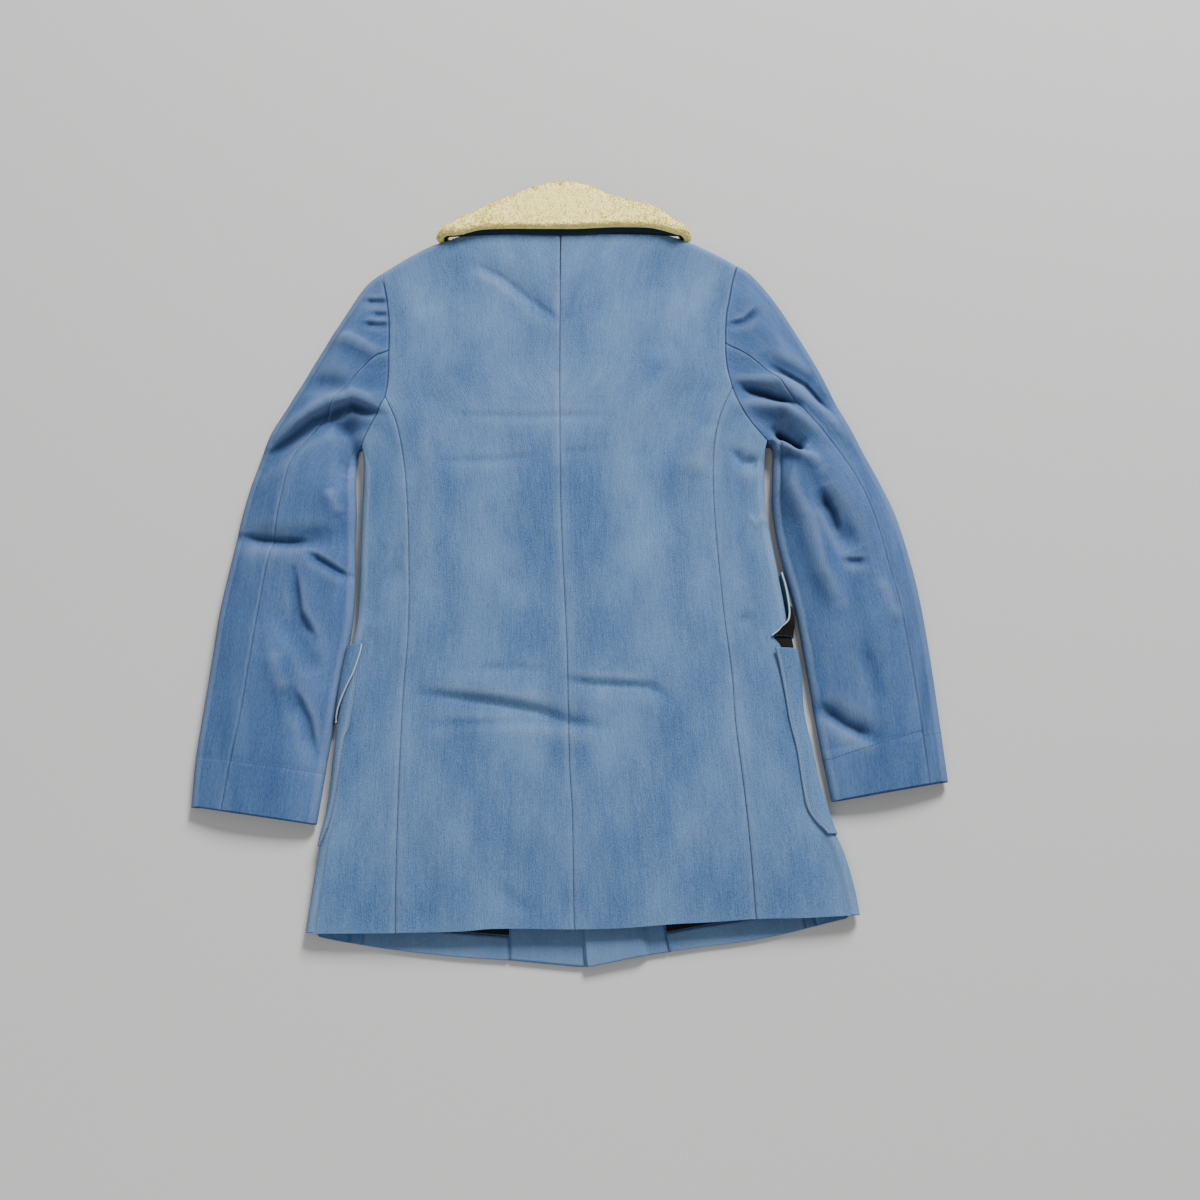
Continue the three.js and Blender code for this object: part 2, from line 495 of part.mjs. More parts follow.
// Plan points of the side-front seam on the underside
function frontSeamPoint(side, row) {
  const { sign, edge, armLow } = SIDES[side];
  const y = edgeRowY(side, row);
  const top = armLow[armLow.length - 1];
  const lift = ease((row - 0.8) / 0.2);
  return { x: mix(read(edge, 'y', 'x', y) - sign * SIDE_SEAM_INSET, top.x, lift), y: mix(y, top.y, lift) };
}

// Side panel, from the side-back seam over the edge to the side-front seam.
// Its upper end bends to the armhole, while both seams keep to their lines.
function sideGrid(side, out) {
  const { armLow } = SIDES[side];
  const topColumns = armLow.length - 1;
  const quarter = edgeQuarter();
  const topY = edgeRowY(side, 1);
  const topEnds = [seamPoint(side, 1), bodyWrap(side, topY, quarter, 0)];
  const lowEnds = [bodyWrap(side, topY, -quarter, 0), frontSeamPoint(side, 1)];
  return LOW_ROWS.map((row) => {
    const seam = seamPoint(side, row);
    const y = edgeRowY(side, row);
    const brink = bodyWrap(side, y, quarter, 0);
    const columns = [];
    for (let c = 0; c < topColumns; c += 1) {
      const t = c / topColumns;
      const { x, at } = sidePlan([seam, brink], topEnds, t, armLow[topColumns - c], HEM_BACK, row);
      columns.push(vec(x, at, bodyTop(x, at) + out));
    }
    for (const t of steps(6)) columns.push(bodyWrap(side, y, quarter * (1 - 2 * t), out));
    const front = frontSeamPoint(side, row);
    const under = bodyWrap(side, y, -quarter, 0);
    for (const [t, arm] of [[0.5, armLow[2]], [1, armLow[topColumns]]]) {
      const { x, at } = sidePlan([under, front], lowEnds, t, arm, HEM_FRONT, row);
      columns.push(vec(x, at, bodyBottom(x, at) - out));
    }
    return columns;
  });
}

// Plan point between two ends, moved towards an armhole point at the top and a hem line at the bottom
function sidePlan(ends, topEnds, t, arm, hem, row) {
  const bend = row ** ARMHOLE_BEND;
  const x = mix(ends[0].x, ends[1].x, t) + (arm.x - mix(topEnds[0].x, topEnds[1].x, t)) * bend;
  const y = mix(ends[0].y, ends[1].y, t) + (arm.y - mix(topEnds[0].y, topEnds[1].y, t)) * bend;
  return { x, at: y + (read(hem, 'x', 'y', x) - mix(ends[0].y, ends[1].y, t)) * (1 - row) ** SIDE_HEM_FADE };
}

// Rows of a body panel above the side seam: armhole points, then the rounded shoulder edge
const SHOULDER_STEPS = [0.35, 0.7, 0.92, 1];
const SHOULDER_COLUMNS = [0, 0.1, 0.2, 0.27, 0.34, 0.44];

// Grid between an outer border and the centre, with a shaped top edge
function panelGrid(side, spec, out) {
  const { armHigh } = SIDES[side];
  const armRows = armHigh.filter((_, i) => i > 0 && i % spec.armStep === 0);
  const outerBorder = [...spec.lowBorder, ...armRows];
  const count = outerBorder.length - 1;
  const top = spec.top;
  const base = (s) => {
    const way = shoulderWay(side, top, s);
    return {
      x: read(top, 's', 'x', s) - way.x * SHOULDER_ROUND,
      y: read(top, 's', 'y', s) - way.y * SHOULDER_ROUND,
    };
  };
  const topBase = spec.columns.map(base);
  topBase[0] = { x: armHigh[armHigh.length - 1].x, y: armHigh[armHigh.length - 1].y };
  const firstY = outerBorder[0].y;
  const lastY = outerBorder[count].y;
  const inner = topBase[topBase.length - 1];
  const rows = outerBorder.map((border) => {
    const f = (border.y - firstY) / (lastY - firstY);
    const innerY = mix(spec.innerHemY, inner.y, f);
    const innerX = f >= 1 ? inner.x : spec.innerX(innerY);
    return spec.columns.map((s, c) => {
      const topBend = ease((f - TOP_BEND_START) / (1 - TOP_BEND_START));
      const flatX = mix(border.x, innerX, s);
      const flatY = mix(border.y, innerY, s);
      const topFlatX = mix(outerBorder[count].x, inner.x, s);
      const topFlatY = mix(lastY, inner.y, s);
      const x = flatX + (topBase[c].x - topFlatX) * topBend;
      const plainY = flatY + (topBase[c].y - topFlatY) * topBend;
      const y = plainY + (read(spec.hem, 'x', 'y', x) - plainY) * (1 - f) ** HEM_FADE;
      return vec(x, y, spec.surface(x, y) + (spec.facesUp ? out : -out));
    });
  });
  for (const step of SHOULDER_STEPS) {
    rows.push(spec.columns.map((s, c) => shoulderPoint(side, spec, topBase[c], s, step, out)));
  }
  return rows;
}

function shoulderWay(side, top, s) {
  const first = SIDES[side].shoulderWay;
  const a = { x: read(top, 's', 'x', Math.max(0, s - 0.02)), y: read(top, 's', 'y', Math.max(0, s - 0.02)) };
  const b = { x: read(top, 's', 'x', Math.min(1, s + 0.02)), y: read(top, 's', 'y', Math.min(1, s + 0.02)) };
  const length = Math.hypot(b.x - a.x, b.y - a.y);
  const normal = { x: Math.sign(b.x - a.x) * -(b.y - a.y) / length, y: Math.abs(b.x - a.x) / length };
  const t = ease(s / 0.15);
  const x = mix(first.x, normal.x, t);
  const y = mix(first.y, normal.y, t);
  const size = Math.hypot(x, y);
  return { x: x / size, y: y / size };
}

function shoulderPoint(side, spec, base, s, step, out) {
  const way = shoulderWay(side, spec.top, s);
  const round = clamp01(read(spec.top, 's', 'round', s));
  const angle = step * Math.PI / 2;
  const reach = (SHOULDER_ROUND + out * round) * Math.sin(angle);
  const flat = SHOULDER_ROUND * step;
  const forward = mix(flat, reach, round);
  const x = base.x + way.x * forward;
  const y = base.y + way.y * forward;
  const top = bodyTop(base.x, base.y);
  const bottom = bodyBottom(base.x, base.y);
  const middle = (top + bottom) / 2;
  const half = (top - bottom) / 2 + out;
  const rounded = spec.facesUp ? middle + half * Math.cos(angle) : middle - half * Math.cos(angle);
  const level = spec.surface(base.x, base.y) + (spec.facesUp ? out : -out);
  const apart = spec.facesUp ? SEAM_GAP / 2 : -SEAM_GAP / 2;
  return vec(x, y, mix(level, rounded + apart * Math.sin(angle), round));
}

function backSpec(side) {
  return {
    top: SIDES[side].backTop,
    columns: [...SHOULDER_COLUMNS, 0.56, 0.7, 0.85, 1],
    lowBorder: LOW_ROWS.map((row) => seamPoint(side, row)),
    armStep: 1,
    innerHemY: -345,
    innerX: (y) => read(CENTRE_BACK, 'y', 'x', y),
    hem: HEM_BACK,
    surface: bodyTop,
    facesUp: true,
  };
}

function frontLevel(side, x, y) {
  const flat = bodyBottom(x, y);
  if (side === 'left') return flat;
  const lapX = read(CLOSING_LEFT, 'y', 'x', y);
  const lap = DENIM + FACING + 2 * LAYER_GAP;
  return flat + (lap + LAP_SLACK * collarRise(x, y)) * ease((lapX + 20 - x) / 12);
}

function frontSpec(side) {
  const closing = SIDES[side].closing;
  return {
    top: SIDES[side].frontTop,
    columns: [...SHOULDER_COLUMNS, ...(side === 'left' ? [0.57, 0.7, 0.85, 1] : [0.643, 0.72, 0.8, 0.9, 1])],
    lowBorder: LOW_ROWS.map((row) => frontSeamPoint(side, row)),
    armStep: 2,
    innerHemY: closing[0].y,
    innerX: (y) => read(closing, 'y', 'x', y),
    hem: HEM_FRONT,
    surface: (x, y) => frontLevel(side, x, y),
    facesUp: false,
  };
}

// One sleeve section at a row number between the table's rows
function sleeveSection(side, row) {
  const table = SIDES[side].sleeve.map((r, i) => ({ ...r, i }));
  const get = (key, at) => read(table, 'i', key, Math.min(table.length - 1, Math.max(0, at)));
  const point = (a, b, at) => ({ x: get(a, at), y: get(b, at) });
  const inner = point('ix', 'iy', row);
  const outer = point('ox', 'oy', row);
  const normal = (a, b, turn) => {
    const p = point(a, b, row - 0.3);
    const q = point(a, b, row + 0.3);
    const length = Math.hypot(q.x - p.x, q.y - p.y);
    return { x: turn * (q.y - p.y) / length, y: -turn * (q.x - p.x) / length };
  };
  const { sign, shoulderWay } = SIDES[side];
  const outWay = normal('ox', 'oy', -sign);
  const inWay = normal('ix', 'iy', sign);
  const start = ease(row / OUTER_ROUND_ROWS);
  const wayX = mix(shoulderWay.x, outWay.x, start);
  const wayY = mix(shoulderWay.y, outWay.y, start);
  const size = Math.hypot(wayX, wayY);
  return {
    inner, outer, inWay, outWay: { x: wayX / size, y: wayY / size },
    innerRound: SLEEVE_EDGE_ROUND * ease(row / INNER_ROUND_ROWS),
    outerRound: mix(SHOULDER_ROUND, SLEEVE_EDGE_ROUND, start),
    seam: get('seam', row), edge: get('edge', row), crown: get('crown', row),
    hold: 1 - ease(row / ARMHOLE_HOLD_ROWS),
  };
}

function sleeveTopHeight(section, share, x, y) {
  const dome = 1 - Math.abs(2 * share - 1) ** CROWN_POWER;
  const own = section.edge + section.crown * dome + foldHeight(x, y);
  return mix(own, bodyTop(x, y), section.hold);
}

function sleeveEnds(section) {
  const { inner, outer, inWay, outWay, innerRound, outerRound } = section;
  return {
    in: { x: inner.x - inWay.x * innerRound, y: inner.y - inWay.y * innerRound },
    out: { x: outer.x - outWay.x * outerRound, y: outer.y - outWay.y * outerRound },
  };
}

// Top or bottom point of a sleeve at a share of the width, led by the armhole at the first rows
function sleeveFlat(section, share, armPoint, armShare, out, isTop) {
  const ends = sleeveEnds(section);
  const x = mix(ends.in.x, ends.out.x, share) + (armPoint.x - armShare.x) * section.hold;
  const y = mix(ends.in.y, ends.out.y, share) + (armPoint.y - armShare.y) * section.hold;
  if (isTop) return vec(x, y, sleeveTopHeight(section, share, x, y) + out);
  return vec(x, y, bodyBottom(x, y) * section.hold - out);
}

function sleeveArc(section, isOuter, angle, out) {
  const ends = sleeveEnds(section);
  const centre = isOuter ? ends.out : ends.in;
  const way = isOuter ? section.outWay : section.inWay;
  const round = isOuter ? section.outerRound : section.innerRound;
  const top = sleeveTopHeight(section, isOuter ? 1 : 0, centre.x, centre.y);
  const bottom = bodyBottom(centre.x, centre.y) * section.hold;
  const half = (top - bottom) / 2;
  const reach = (round + out) * Math.cos(angle);
  const z = (top + bottom) / 2 + (half + out) * Math.sin(angle);
  return vec(centre.x + way.x * reach, centre.y + way.y * reach, z);
}

// Armhole points from the underarm to the shoulder with their share of the first section
function armholeTop(side) {
  const { armLow, armHigh } = SIDES[side];
  return [...armLow, ...armHigh.slice(1)];
}

function armholeBottom(side) {
  const { armLow, armHigh } = SIDES[side];
  return [armLow[0], armLow[2], armLow[4], ...armHigh.filter((_, i) => i > 0 && i % 2 === 0)];
}

// Shares of the width for points k of an armhole list, so that the given point sits on the seam
function sharesFor(list, seamAt, seam) {
  const last = list.length - 1;
  return list.map((_, k) => (k <= seamAt ? seam * k / seamAt : mix(seam, 1, (k - seamAt) / (last - seamAt))));
}

const ARC_ANGLES = steps(6).map((t) => Math.PI / 2 - t * Math.PI);

// Sleeve piece: 'upper' covers the outer edge, 'under' covers the inner edge
function sleeveGrid(side, piece, out) {
  const topList = armholeTop(side);
  const bottomList = armholeBottom(side);
  const topSeamAt = SIDES[side].armLow.length - 1 + ELBOW_SEAM_AT_ARMHOLE;
  const bottomSeamAt = 2;
  const first = sleeveSection(side, 0);
  const ends = sleeveEnds(first);
  const chord = (t) => ({ x: mix(ends.in.x, ends.out.x, t), y: mix(ends.in.y, ends.out.y, t) });
  const topStart = sharesFor(topList, topSeamAt, first.seam);
  const bottomStart = sharesFor(bottomList, bottomSeamAt, FOREARM_SEAM_SHARE);
  return SLEEVE_ROWS.map((row) => {
    const section = sleeveSection(side, row);
    const topShares = sharesFor(topList, topSeamAt, section.seam);
    const top = (k) => sleeveFlat(section, topShares[k], topList[k], chord(topStart[k]), out, true);
    const low = (k) => sleeveFlat(section, bottomStart[k], bottomList[k], chord(bottomStart[k]), out, false);
    const points = [];
    if (piece === 'upper') {
      for (let k = topSeamAt; k < topList.length - 1; k += 1) points.push(top(k));
      for (const angle of ARC_ANGLES) points.push(sleeveArc(section, true, angle, out));
      for (let k = bottomList.length - 2; k >= bottomSeamAt; k -= 1) points.push(low(k));
      return points;
    }
    for (let k = topSeamAt; k > 0; k -= 1) points.push(top(k));
    for (const angle of ARC_ANGLES) points.push(sleeveArc(section, false, angle, out));
    for (let k = 1; k <= bottomSeamAt; k += 1) points.push(low(k));
    return points;
  });
}

// Wrap distances across a pocket or flap, from its visible end over the edge and under
function patchColumns(start, underWidth) {
  const quarter = edgeQuarter();
  const brink = Math.min(quarter, start - 1.5);
  const marks = [start, brink, Math.min(0, start - 3), -quarter, -quarter - underWidth];
  const parts = [2, 3, 3, 3];
  const columns = [];
  for (let i = 0; i < parts.length; i += 1) {
    for (let k = 0; k < parts[i]; k += 1) columns.push(mix(marks[i], marks[i + 1], k / parts[i]));
  }
  columns.push(marks[marks.length - 1]);
  return columns;
}

function pocketGrid(side, out) {
  const rows = SIDES[side].pocket;
  const mouthY = rows[0].y;
  return rows.map(({ y, x }, r) => {
    const narrow = POCKET_CORNER_NARROWING * ease((r - 6) / 3);
    return patchColumns(wrapAt(side, y, x), POCKET_UNDER_WIDTH - narrow).map((wrap) => {
      const mouth = Math.exp((y - mouthY) / POCKET_GAPE_DEPTH);
      const lift = POCKET_GAPE[side] * mouth * ease((wrap + STAND_OFF_START) / STAND_OFF_SOFT);
      return bodyWrap(side, y, wrap, PATCH_GAP + lift + out);
    });
  });
}

function flapGrid(side, out) {
  const above = side === 'left' ? PATCH_RISE + PATCH_GAP : PATCH_GAP;
  return SIDES[side].flap.map(({ y, x, off }) => {
    const columns = patchColumns(wrapAt(side, y, x), FLAP_UNDER_WIDTH);
    return columns.map((wrap) => {
      const lift = FLAP_STAND_OFF[side] * off * ease((wrap + STAND_OFF_START) / STAND_OFF_SOFT);
      return bodyWrap(side, y, wrap, above + lift + out);
    });
  });
}

function patchPiece(name, look, gridAt) {
  return namedMesh(name, look, closeWall(gridAt(PATCH_CLOTH), gridAt(0)));
}

// Dark lining that shows in the open mouth of the right pocket
function pocketLining() {
  const rows = [-49.5, -56, -66, -78];
  const quarter = edgeQuarter();
  const columns = [quarter + 5, quarter, quarter * 2 / 3, quarter / 3, 0];
  const gridAt = (out) => rows.map((y) => columns.map((wrap) => bodyWrap('right', y, wrap, LAYER_GAP + out)));
  return namedMesh('pocket_lining_right', LINING_DARK, closeWall(gridAt(0.4), gridAt(0)));
}

// Strip on the inside of a front, made from the front's own points and moved up.
// Rows and columns are numbers of the front's grid, with fractions between its lines.
function insideStrip(name, look, side, rows, columns, cloth) {
  const grid = panelGrid(side, frontSpec(side), -DENIM);
  const pointAt = (r, c, up) => {
    const [i, j] = [Math.floor(r), Math.floor(c)];
    const low = grid[i][j].clone().lerp(grid[i][Math.min(j + 1, grid[i].length - 1)], c - j);
    const high = grid[i + 1][j].clone().lerp(grid[i + 1][Math.min(j + 1, grid[i].length - 1)], c - j);
    const point = low.lerp(high, r - i);
    return point.setZ(point.z + LAYER_GAP + up);
  };
  const gridAt = (up) => rows.map((r) => columns.map((c) => pointAt(r, c, up)));
  return namedMesh(name, look, closeWall(gridAt(cloth), gridAt(0)));
}

const FACING_ROWS = [0.03, 1, 2, 3, 4];
const FACING_COLUMNS = { left: [6.03, 7, 8, 8.94], right: [6.03, 7, 8, 9, 9.94] };
const TURN_UP_ROWS = [0.03, 0.6, 1, 1.35];
const LINING_ROWS = [1.41, 2, 3, 4];
const HEM_COLUMNS = [0.4, 1, 2, 3, 4, 5, 5.96];

// Collar path: stations across the back, round both folded ends and along the front
function collarStations() {
  const stations = [];
  const get = (table, x) => ({
    roll: read(table, 'x', 'roll', x), edge: read(table, 'x', 'edge', x), seam: read(table, 'x', 'seam', x),
  });
  const frontLeft = [COLLAR_MIDDLE_X - COLLAR_SPLIT_HALF, -75, -104, -130, -155];
  for (const x of frontLeft) stations.push({ x, angle: -Math.PI / 2, ...get(COLLAR_FRONT, x) });
  addCollarEnd(stations, COLLAR_LEFT_TURN_X, -1, get);
  for (const x of [-167, -154, -140, -122, -102, -81, -62, -43, -25, -7, 10, 28, 48, 66, 80]) {
    stations.push({ x, angle: Math.PI / 2, ...get(COLLAR_BACK, x) });
  }
  addCollarEnd(stations, COLLAR_RIGHT_TURN_X, 1, get);
  const frontRight = [69, 44, 18, -11, COLLAR_MIDDLE_X + COLLAR_SPLIT_HALF];
  for (const x of frontRight) stations.push({ x, angle: -Math.PI / 2, ...get(COLLAR_FRONT, x) });
  return stations;
}

function addCollarEnd(stations, x, sign, get) {
  const back = get(COLLAR_BACK, x);
  const front = get(COLLAR_FRONT, x);
  for (const t of steps(8)) {
    const fromFront = sign < 0 ? t : 1 - t;
    const blend = (key) => (fromFront < 0.5
      ? mix(front[key], COLLAR_END[key], ease(fromFront * 2))
      : mix(COLLAR_END[key], back[key], ease(fromFront * 2 - 1)));
    const turn = -Math.PI / 2 + fromFront * Math.PI;
    const angle = sign < 0 ? Math.PI - turn : turn;
    stations.push({ x, angle, roll: blend('roll'), edge: blend('edge'), seam: blend('seam') });
  }
}

// Closed solid swept along the collar from a section of (off the stand, along the coat) points
function collarSweep(name, look, sectionAt) {
  const rings = collarStations().map((station) => sectionAt(station).map(([off, y]) => {
    const radius = STAND_ROUND + off;
    const z = COLLAR_MIDDLE_Z + radius * Math.sin(station.angle);
    return vec(station.x + radius * Math.cos(station.angle), y, z);
  }));
  const size = rings[0].length;
  const points = rings.flat();
  const index = [];
  for (let r = 0; r < rings.length - 1; r += 1) {
    for (let i = 0; i < size; i += 1) {
      const j = (i + 1) % size;
      const [a, b, c, d] = [r * size + i, r * size + j, (r + 1) * size + j, (r + 1) * size + i];
      index.push(a, b, c, a, c, d);
    }
  }
  capEnd(index, rings[0], 0, true);
  capEnd(index, rings[rings.length - 1], (rings.length - 1) * size, false);
  return namedMesh(name, look, solidGeometry(points, index));
}

function capEnd(index, ring, start, flip) {
  const flat = ring.map((p) => new THREE.Vector2(p.z, p.y));
  const clockwise = THREE.ShapeUtils.area(flat) < 0;
  const faces = THREE.ShapeUtils.triangulateShape(flat, []);
  for (const [a, b, c] of faces) {
    const keep = flip !== clockwise;
    if (keep) index.push(start + a, start + c, start + b);
    else index.push(start + a, start + b, start + c);
  }
}

function fleeceSection({ roll, edge }) {
  const low = STAND_CLOTH + 2 * FALL_GAP;
  const high = low + FLEECE;
  const body = roll - edge;
  const tip = roll - 6.6;
  return [
    [low, edge + 0.6], [low + 2, edge], [high - 1.8, edge + 0.5], [high, edge + 3.2],
    [high, edge + body * 0.35], [high - 0.2, roll - 9.5], [high - 1.6, roll - 4.2], [low + 3.6, roll - 1],
    [0.8, roll], [-STAND_CLOTH + 0.3, roll - 1.6], [-STAND_CLOTH, tip + 0.2], [low, tip + 0.2],
    [low, edge + body * 0.3],
  ];
}

function underCollarSection({ roll, edge, seam }) {
  const gap = FALL_GAP;
  const high = STAND_CLOTH + gap;
  const tip = roll - 6.9;
  const fold = tip - 2.6;
  const shows = Math.max(edge - 4.2, seam + 1.2);
  return [
    [0, seam + SEAM_GAP], [0, fold], [gap / 2, fold + 0.25], [gap, fold], [gap, shows], [high, shows],
    [high, fold], [high - 0.8, tip - 0.5], [gap / 2, tip], [-STAND_CLOTH + 0.8, tip - 0.5],
    [-STAND_CLOTH, fold], [-STAND_CLOTH, seam + SEAM_GAP],
  ];
}

// Assembly
const coat = new THREE.Group();
coat.name = 'car_coat';
for (const side of ['left', 'right']) {
  coat.add(clothPiece(`back_${side}`, DENIM_BODY, (out) => panelGrid(side, backSpec(side), out), DENIM));
  coat.add(clothPiece(`side_${side}`, DENIM_BODY, (out) => sideGrid(side, out), DENIM));
  coat.add(clothPiece(`front_${side}`, DENIM_BODY, (out) => panelGrid(side, frontSpec(side), out), DENIM));
  coat.add(insideStrip(`facing_${side}`, DENIM_INSIDE, side, FACING_ROWS, FACING_COLUMNS[side], FACING));
  coat.add(insideStrip(`turn_up_${side}`, DENIM_INSIDE, side, TURN_UP_ROWS, HEM_COLUMNS, FACING));
  coat.add(insideStrip(`lining_${side}`, LINING_DARK, side, LINING_ROWS, HEM_COLUMNS, LINING));
  coat.add(clothPiece(`sleeve_${side}_upper`, DENIM_SLEEVE, (out) => sleeveGrid(side, 'upper', out), DENIM));
  coat.add(clothPiece(`sleeve_${side}_under`, DENIM_SLEEVE, (out) => sleeveGrid(side, 'under', out), DENIM));
  coat.add(patchPiece(`pocket_${side}`, DENIM_BODY, (out) => pocketGrid(side, out)));
  coat.add(patchPiece(`flap_${side}`, DENIM_BODY, (out) => flapGrid(side, out)));
}
coat.add(pocketLining());
coat.add(collarSweep('collar_top', FLEECE_CREAM, fleeceSection));
coat.add(collarSweep('collar_under', DENIM_SHADE, underCollarSection));

// The origin is under the middle of the coat, on the surface it lies on
const box = new THREE.Box3().setFromObject(coat);
for (const mesh of coat.children) {
  mesh.geometry.translate(-(box.min.x + box.max.x) / 2, -(box.min.y + box.max.y) / 2, -box.min.z);
}

export default coat;
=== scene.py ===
"""Dresses the laid-flat denim car coat: cloth shells, fleece, sewing, finishes, light and camera."""
import logging
import math
from dataclasses import dataclass
from enum import Enum
from typing import Callable, Sequence

import bpy
import numpy as np
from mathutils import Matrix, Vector, noise


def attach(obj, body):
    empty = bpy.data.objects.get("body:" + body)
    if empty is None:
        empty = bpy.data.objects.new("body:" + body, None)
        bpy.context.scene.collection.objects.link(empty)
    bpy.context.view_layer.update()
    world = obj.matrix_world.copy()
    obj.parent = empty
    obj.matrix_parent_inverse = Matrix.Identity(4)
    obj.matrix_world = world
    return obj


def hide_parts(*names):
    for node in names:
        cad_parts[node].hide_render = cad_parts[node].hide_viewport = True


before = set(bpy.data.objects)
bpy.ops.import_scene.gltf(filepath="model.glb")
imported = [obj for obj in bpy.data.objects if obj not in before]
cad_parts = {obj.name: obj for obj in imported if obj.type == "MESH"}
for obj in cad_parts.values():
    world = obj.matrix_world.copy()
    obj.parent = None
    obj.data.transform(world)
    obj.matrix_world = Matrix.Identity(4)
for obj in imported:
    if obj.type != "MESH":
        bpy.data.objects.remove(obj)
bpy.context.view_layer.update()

LOG = logging.getLogger("coat")

# Tables are in millimetres from the point under the camera's aim, which lies here in the frame
MM = 0.001
AIM_IN_FRAME = (29.753, -72.996)

# Cloth, seams and rounded edges, as in the solids
DENIM = 2.0
FACING = 1.2
LINING = 0.8
SEAM_GAP = 0.3
LAYER_GAP = 0.3
PATCH_GAP = 0.45
PATCH_CLOTH = 1.8
PATCH_RISE = PATCH_GAP + PATCH_CLOTH
BODY_ROUND = 9.0
SHOULDER_ROUND = 9.0
QUARTER = BODY_ROUND * math.pi / 2
CROWN_POWER = 2.4
ARC_POINTS = 15

# The collar's layers, and where it turns and splits
COLLAR_RISE = 9.8
FLEECE = 7.7
STAND_CLOTH = 1.6
STAND_ROUND = 6.2
FALL_GAP = 0.35
COLLAR_MIDDLE_Z = FLEECE + STAND_ROUND + STAND_CLOTH + 2 * FALL_GAP
COLLAR_TURNS = (-177.8, 91.8)
COLLAR_SPLIT = (-47.0, -39.0)

# Mesh spacing of cloth that shows, and of cloth that lies underneath
FINE = 3.2
PLAIN = 8.0

# A fold's height at its ends, and how much narrower its steep flank is, as shares
END_HEIGHT = 0.3
STEEPNESS = 0.6

Rows = Sequence[Sequence[float]]


class Side(Enum):
    """The side of the coat, with the sign of its X."""

    LEFT = -1
    RIGHT = 1

    @property
    def word(self) -> str:
        """The side's name in lower case."""
        return self.name.lower()


class Cover(Enum):
    """Which way a panel faces as it lies."""

    UP = 1
    DOWN = -1


@dataclass(frozen=True)
class Curve:
    """A smooth curve through the rows of a table."""

    keys: tuple[float, ...]
    values: tuple[float, ...]

    @classmethod
    def of(cls, rows: Rows, key: int, value: int) -> "Curve":
        """Takes two columns of a table.

        Args:
            rows: The table.
            key: Number of the column that is looked up.
            value: Number of the column that is read.

        Returns:
            The curve, its keys rising.
        """
        pairs = sorted((row[key], row[value]) for row in rows)
        return cls(tuple(p[0] for p in pairs), tuple(p[1] for p in pairs))

    @classmethod
    def along(cls, rows: Rows, value: int) -> "Curve":
        """Reads one column by row number.

        Args:
            rows: The table.
            value: Number of the column that is read.

        Returns:
            The curve over row numbers.
        """
        return cls(tuple(float(i) for i in range(len(rows))), tuple(float(r[value]) for r in rows))

    def at(self, where: np.ndarray | float) -> np.ndarray:
        """Reads the curve.

        Args:
            where: Keys to look up; those outside the table take its ends.

        Returns:
            The values there.
        """
        k, v = np.array(self.keys), np.array(self.values)
        x = np.clip(np.asarray(where, dtype=float), k[0], k[-1])
        i = np.clip(np.searchsorted(k, x, side="right") - 1, 0, len(k) - 2)
        low, high = np.maximum(np.arange(len(k)) - 1, 0), np.minimum(np.arange(len(k)) + 1, len(k) - 1)
        slope = (v[high] - v[low]) / (k[high] - k[low])
        width = k[i + 1] - k[i]
        t = (x - k[i]) / width
        rise = (2 * t**3 - 3 * t**2 + 1) * v[i] + (t**3 - 2 * t**2 + t) * width * slope[i]
        return rise + (3 * t**2 - 2 * t**3) * v[i + 1] + (t**3 - t**2) * width * slope[i + 1]


class Flank(Enum):
    """The steep flank of a crease: the one to the shoulders, to the hem, or neither."""

    UPPER = 1
    EVEN = 0
    LOWER = -1


@dataclass(frozen=True)
class Fold:
    """A ridge, or a trough where height is negative, along a path in plan."""

    path: Rows
    height: float
    width: float
    steep: Flank = Flank.EVEN

    def lift(self, x: np.ndarray, y: np.ndarray) -> np.ndarray:
        """Height that the fold adds.

        Args:
            x: Plan X of the points.
            y: Plan Y of the points.

        Returns:
            The added heights.
        """
        legs = len(self.path) - 1
        best, along, aside = np.full(np.shape(x), 1e9), np.zeros(np.shape(x)), np.zeros(np.shape(x))
        for i in range(legs):
            (ax, ay), (bx, by) = self.path[i], self.path[i + 1]
            t = np.clip(((x - ax) * (bx - ax) + (y - ay) * (by - ay)) / ((bx - ax)**2 + (by - ay)**2), 0, 1)
            away = np.hypot(x - ax - (bx - ax) * t, y - ay - (by - ay) * t)
            near = away < best
            cross = ((bx - ax) * (y - ay) - (by - ay) * (x - ax)) / math.hypot(bx - ax, by - ay)
            best, along = np.where(near, away, best), np.where(near, (i + t) / legs, along)
            aside = np.where(near, cross, aside)
        taper = np.minimum(1, END_HEIGHT + 4 * along * (1 - along))
        heading = math.copysign(1, self.path[-1][0] - self.path[0][0])
        upper = np.clip(heading * aside / (best + 1e-6), -1, 1)
        steep = abs(self.steep.value) * (1 + self.steep.value * upper) / 2
        width = self.width * (1 - STEEPNESS * steep)
        return self.height * taper * np.exp(-((best / width)**2))


# Rows of the body from the hem (0) to the top of the side-back seam (1)
LOW_ROWS = (0, 0.045, 0.1, 0.16, 0.215, 0.265, 0.31, 0.345, 0.378, 0.41, 0.445, 0.49,
            0.545, 0.605, 0.665, 0.725, 0.785, 0.835, 0.88, 0.92, 0.96, 1)

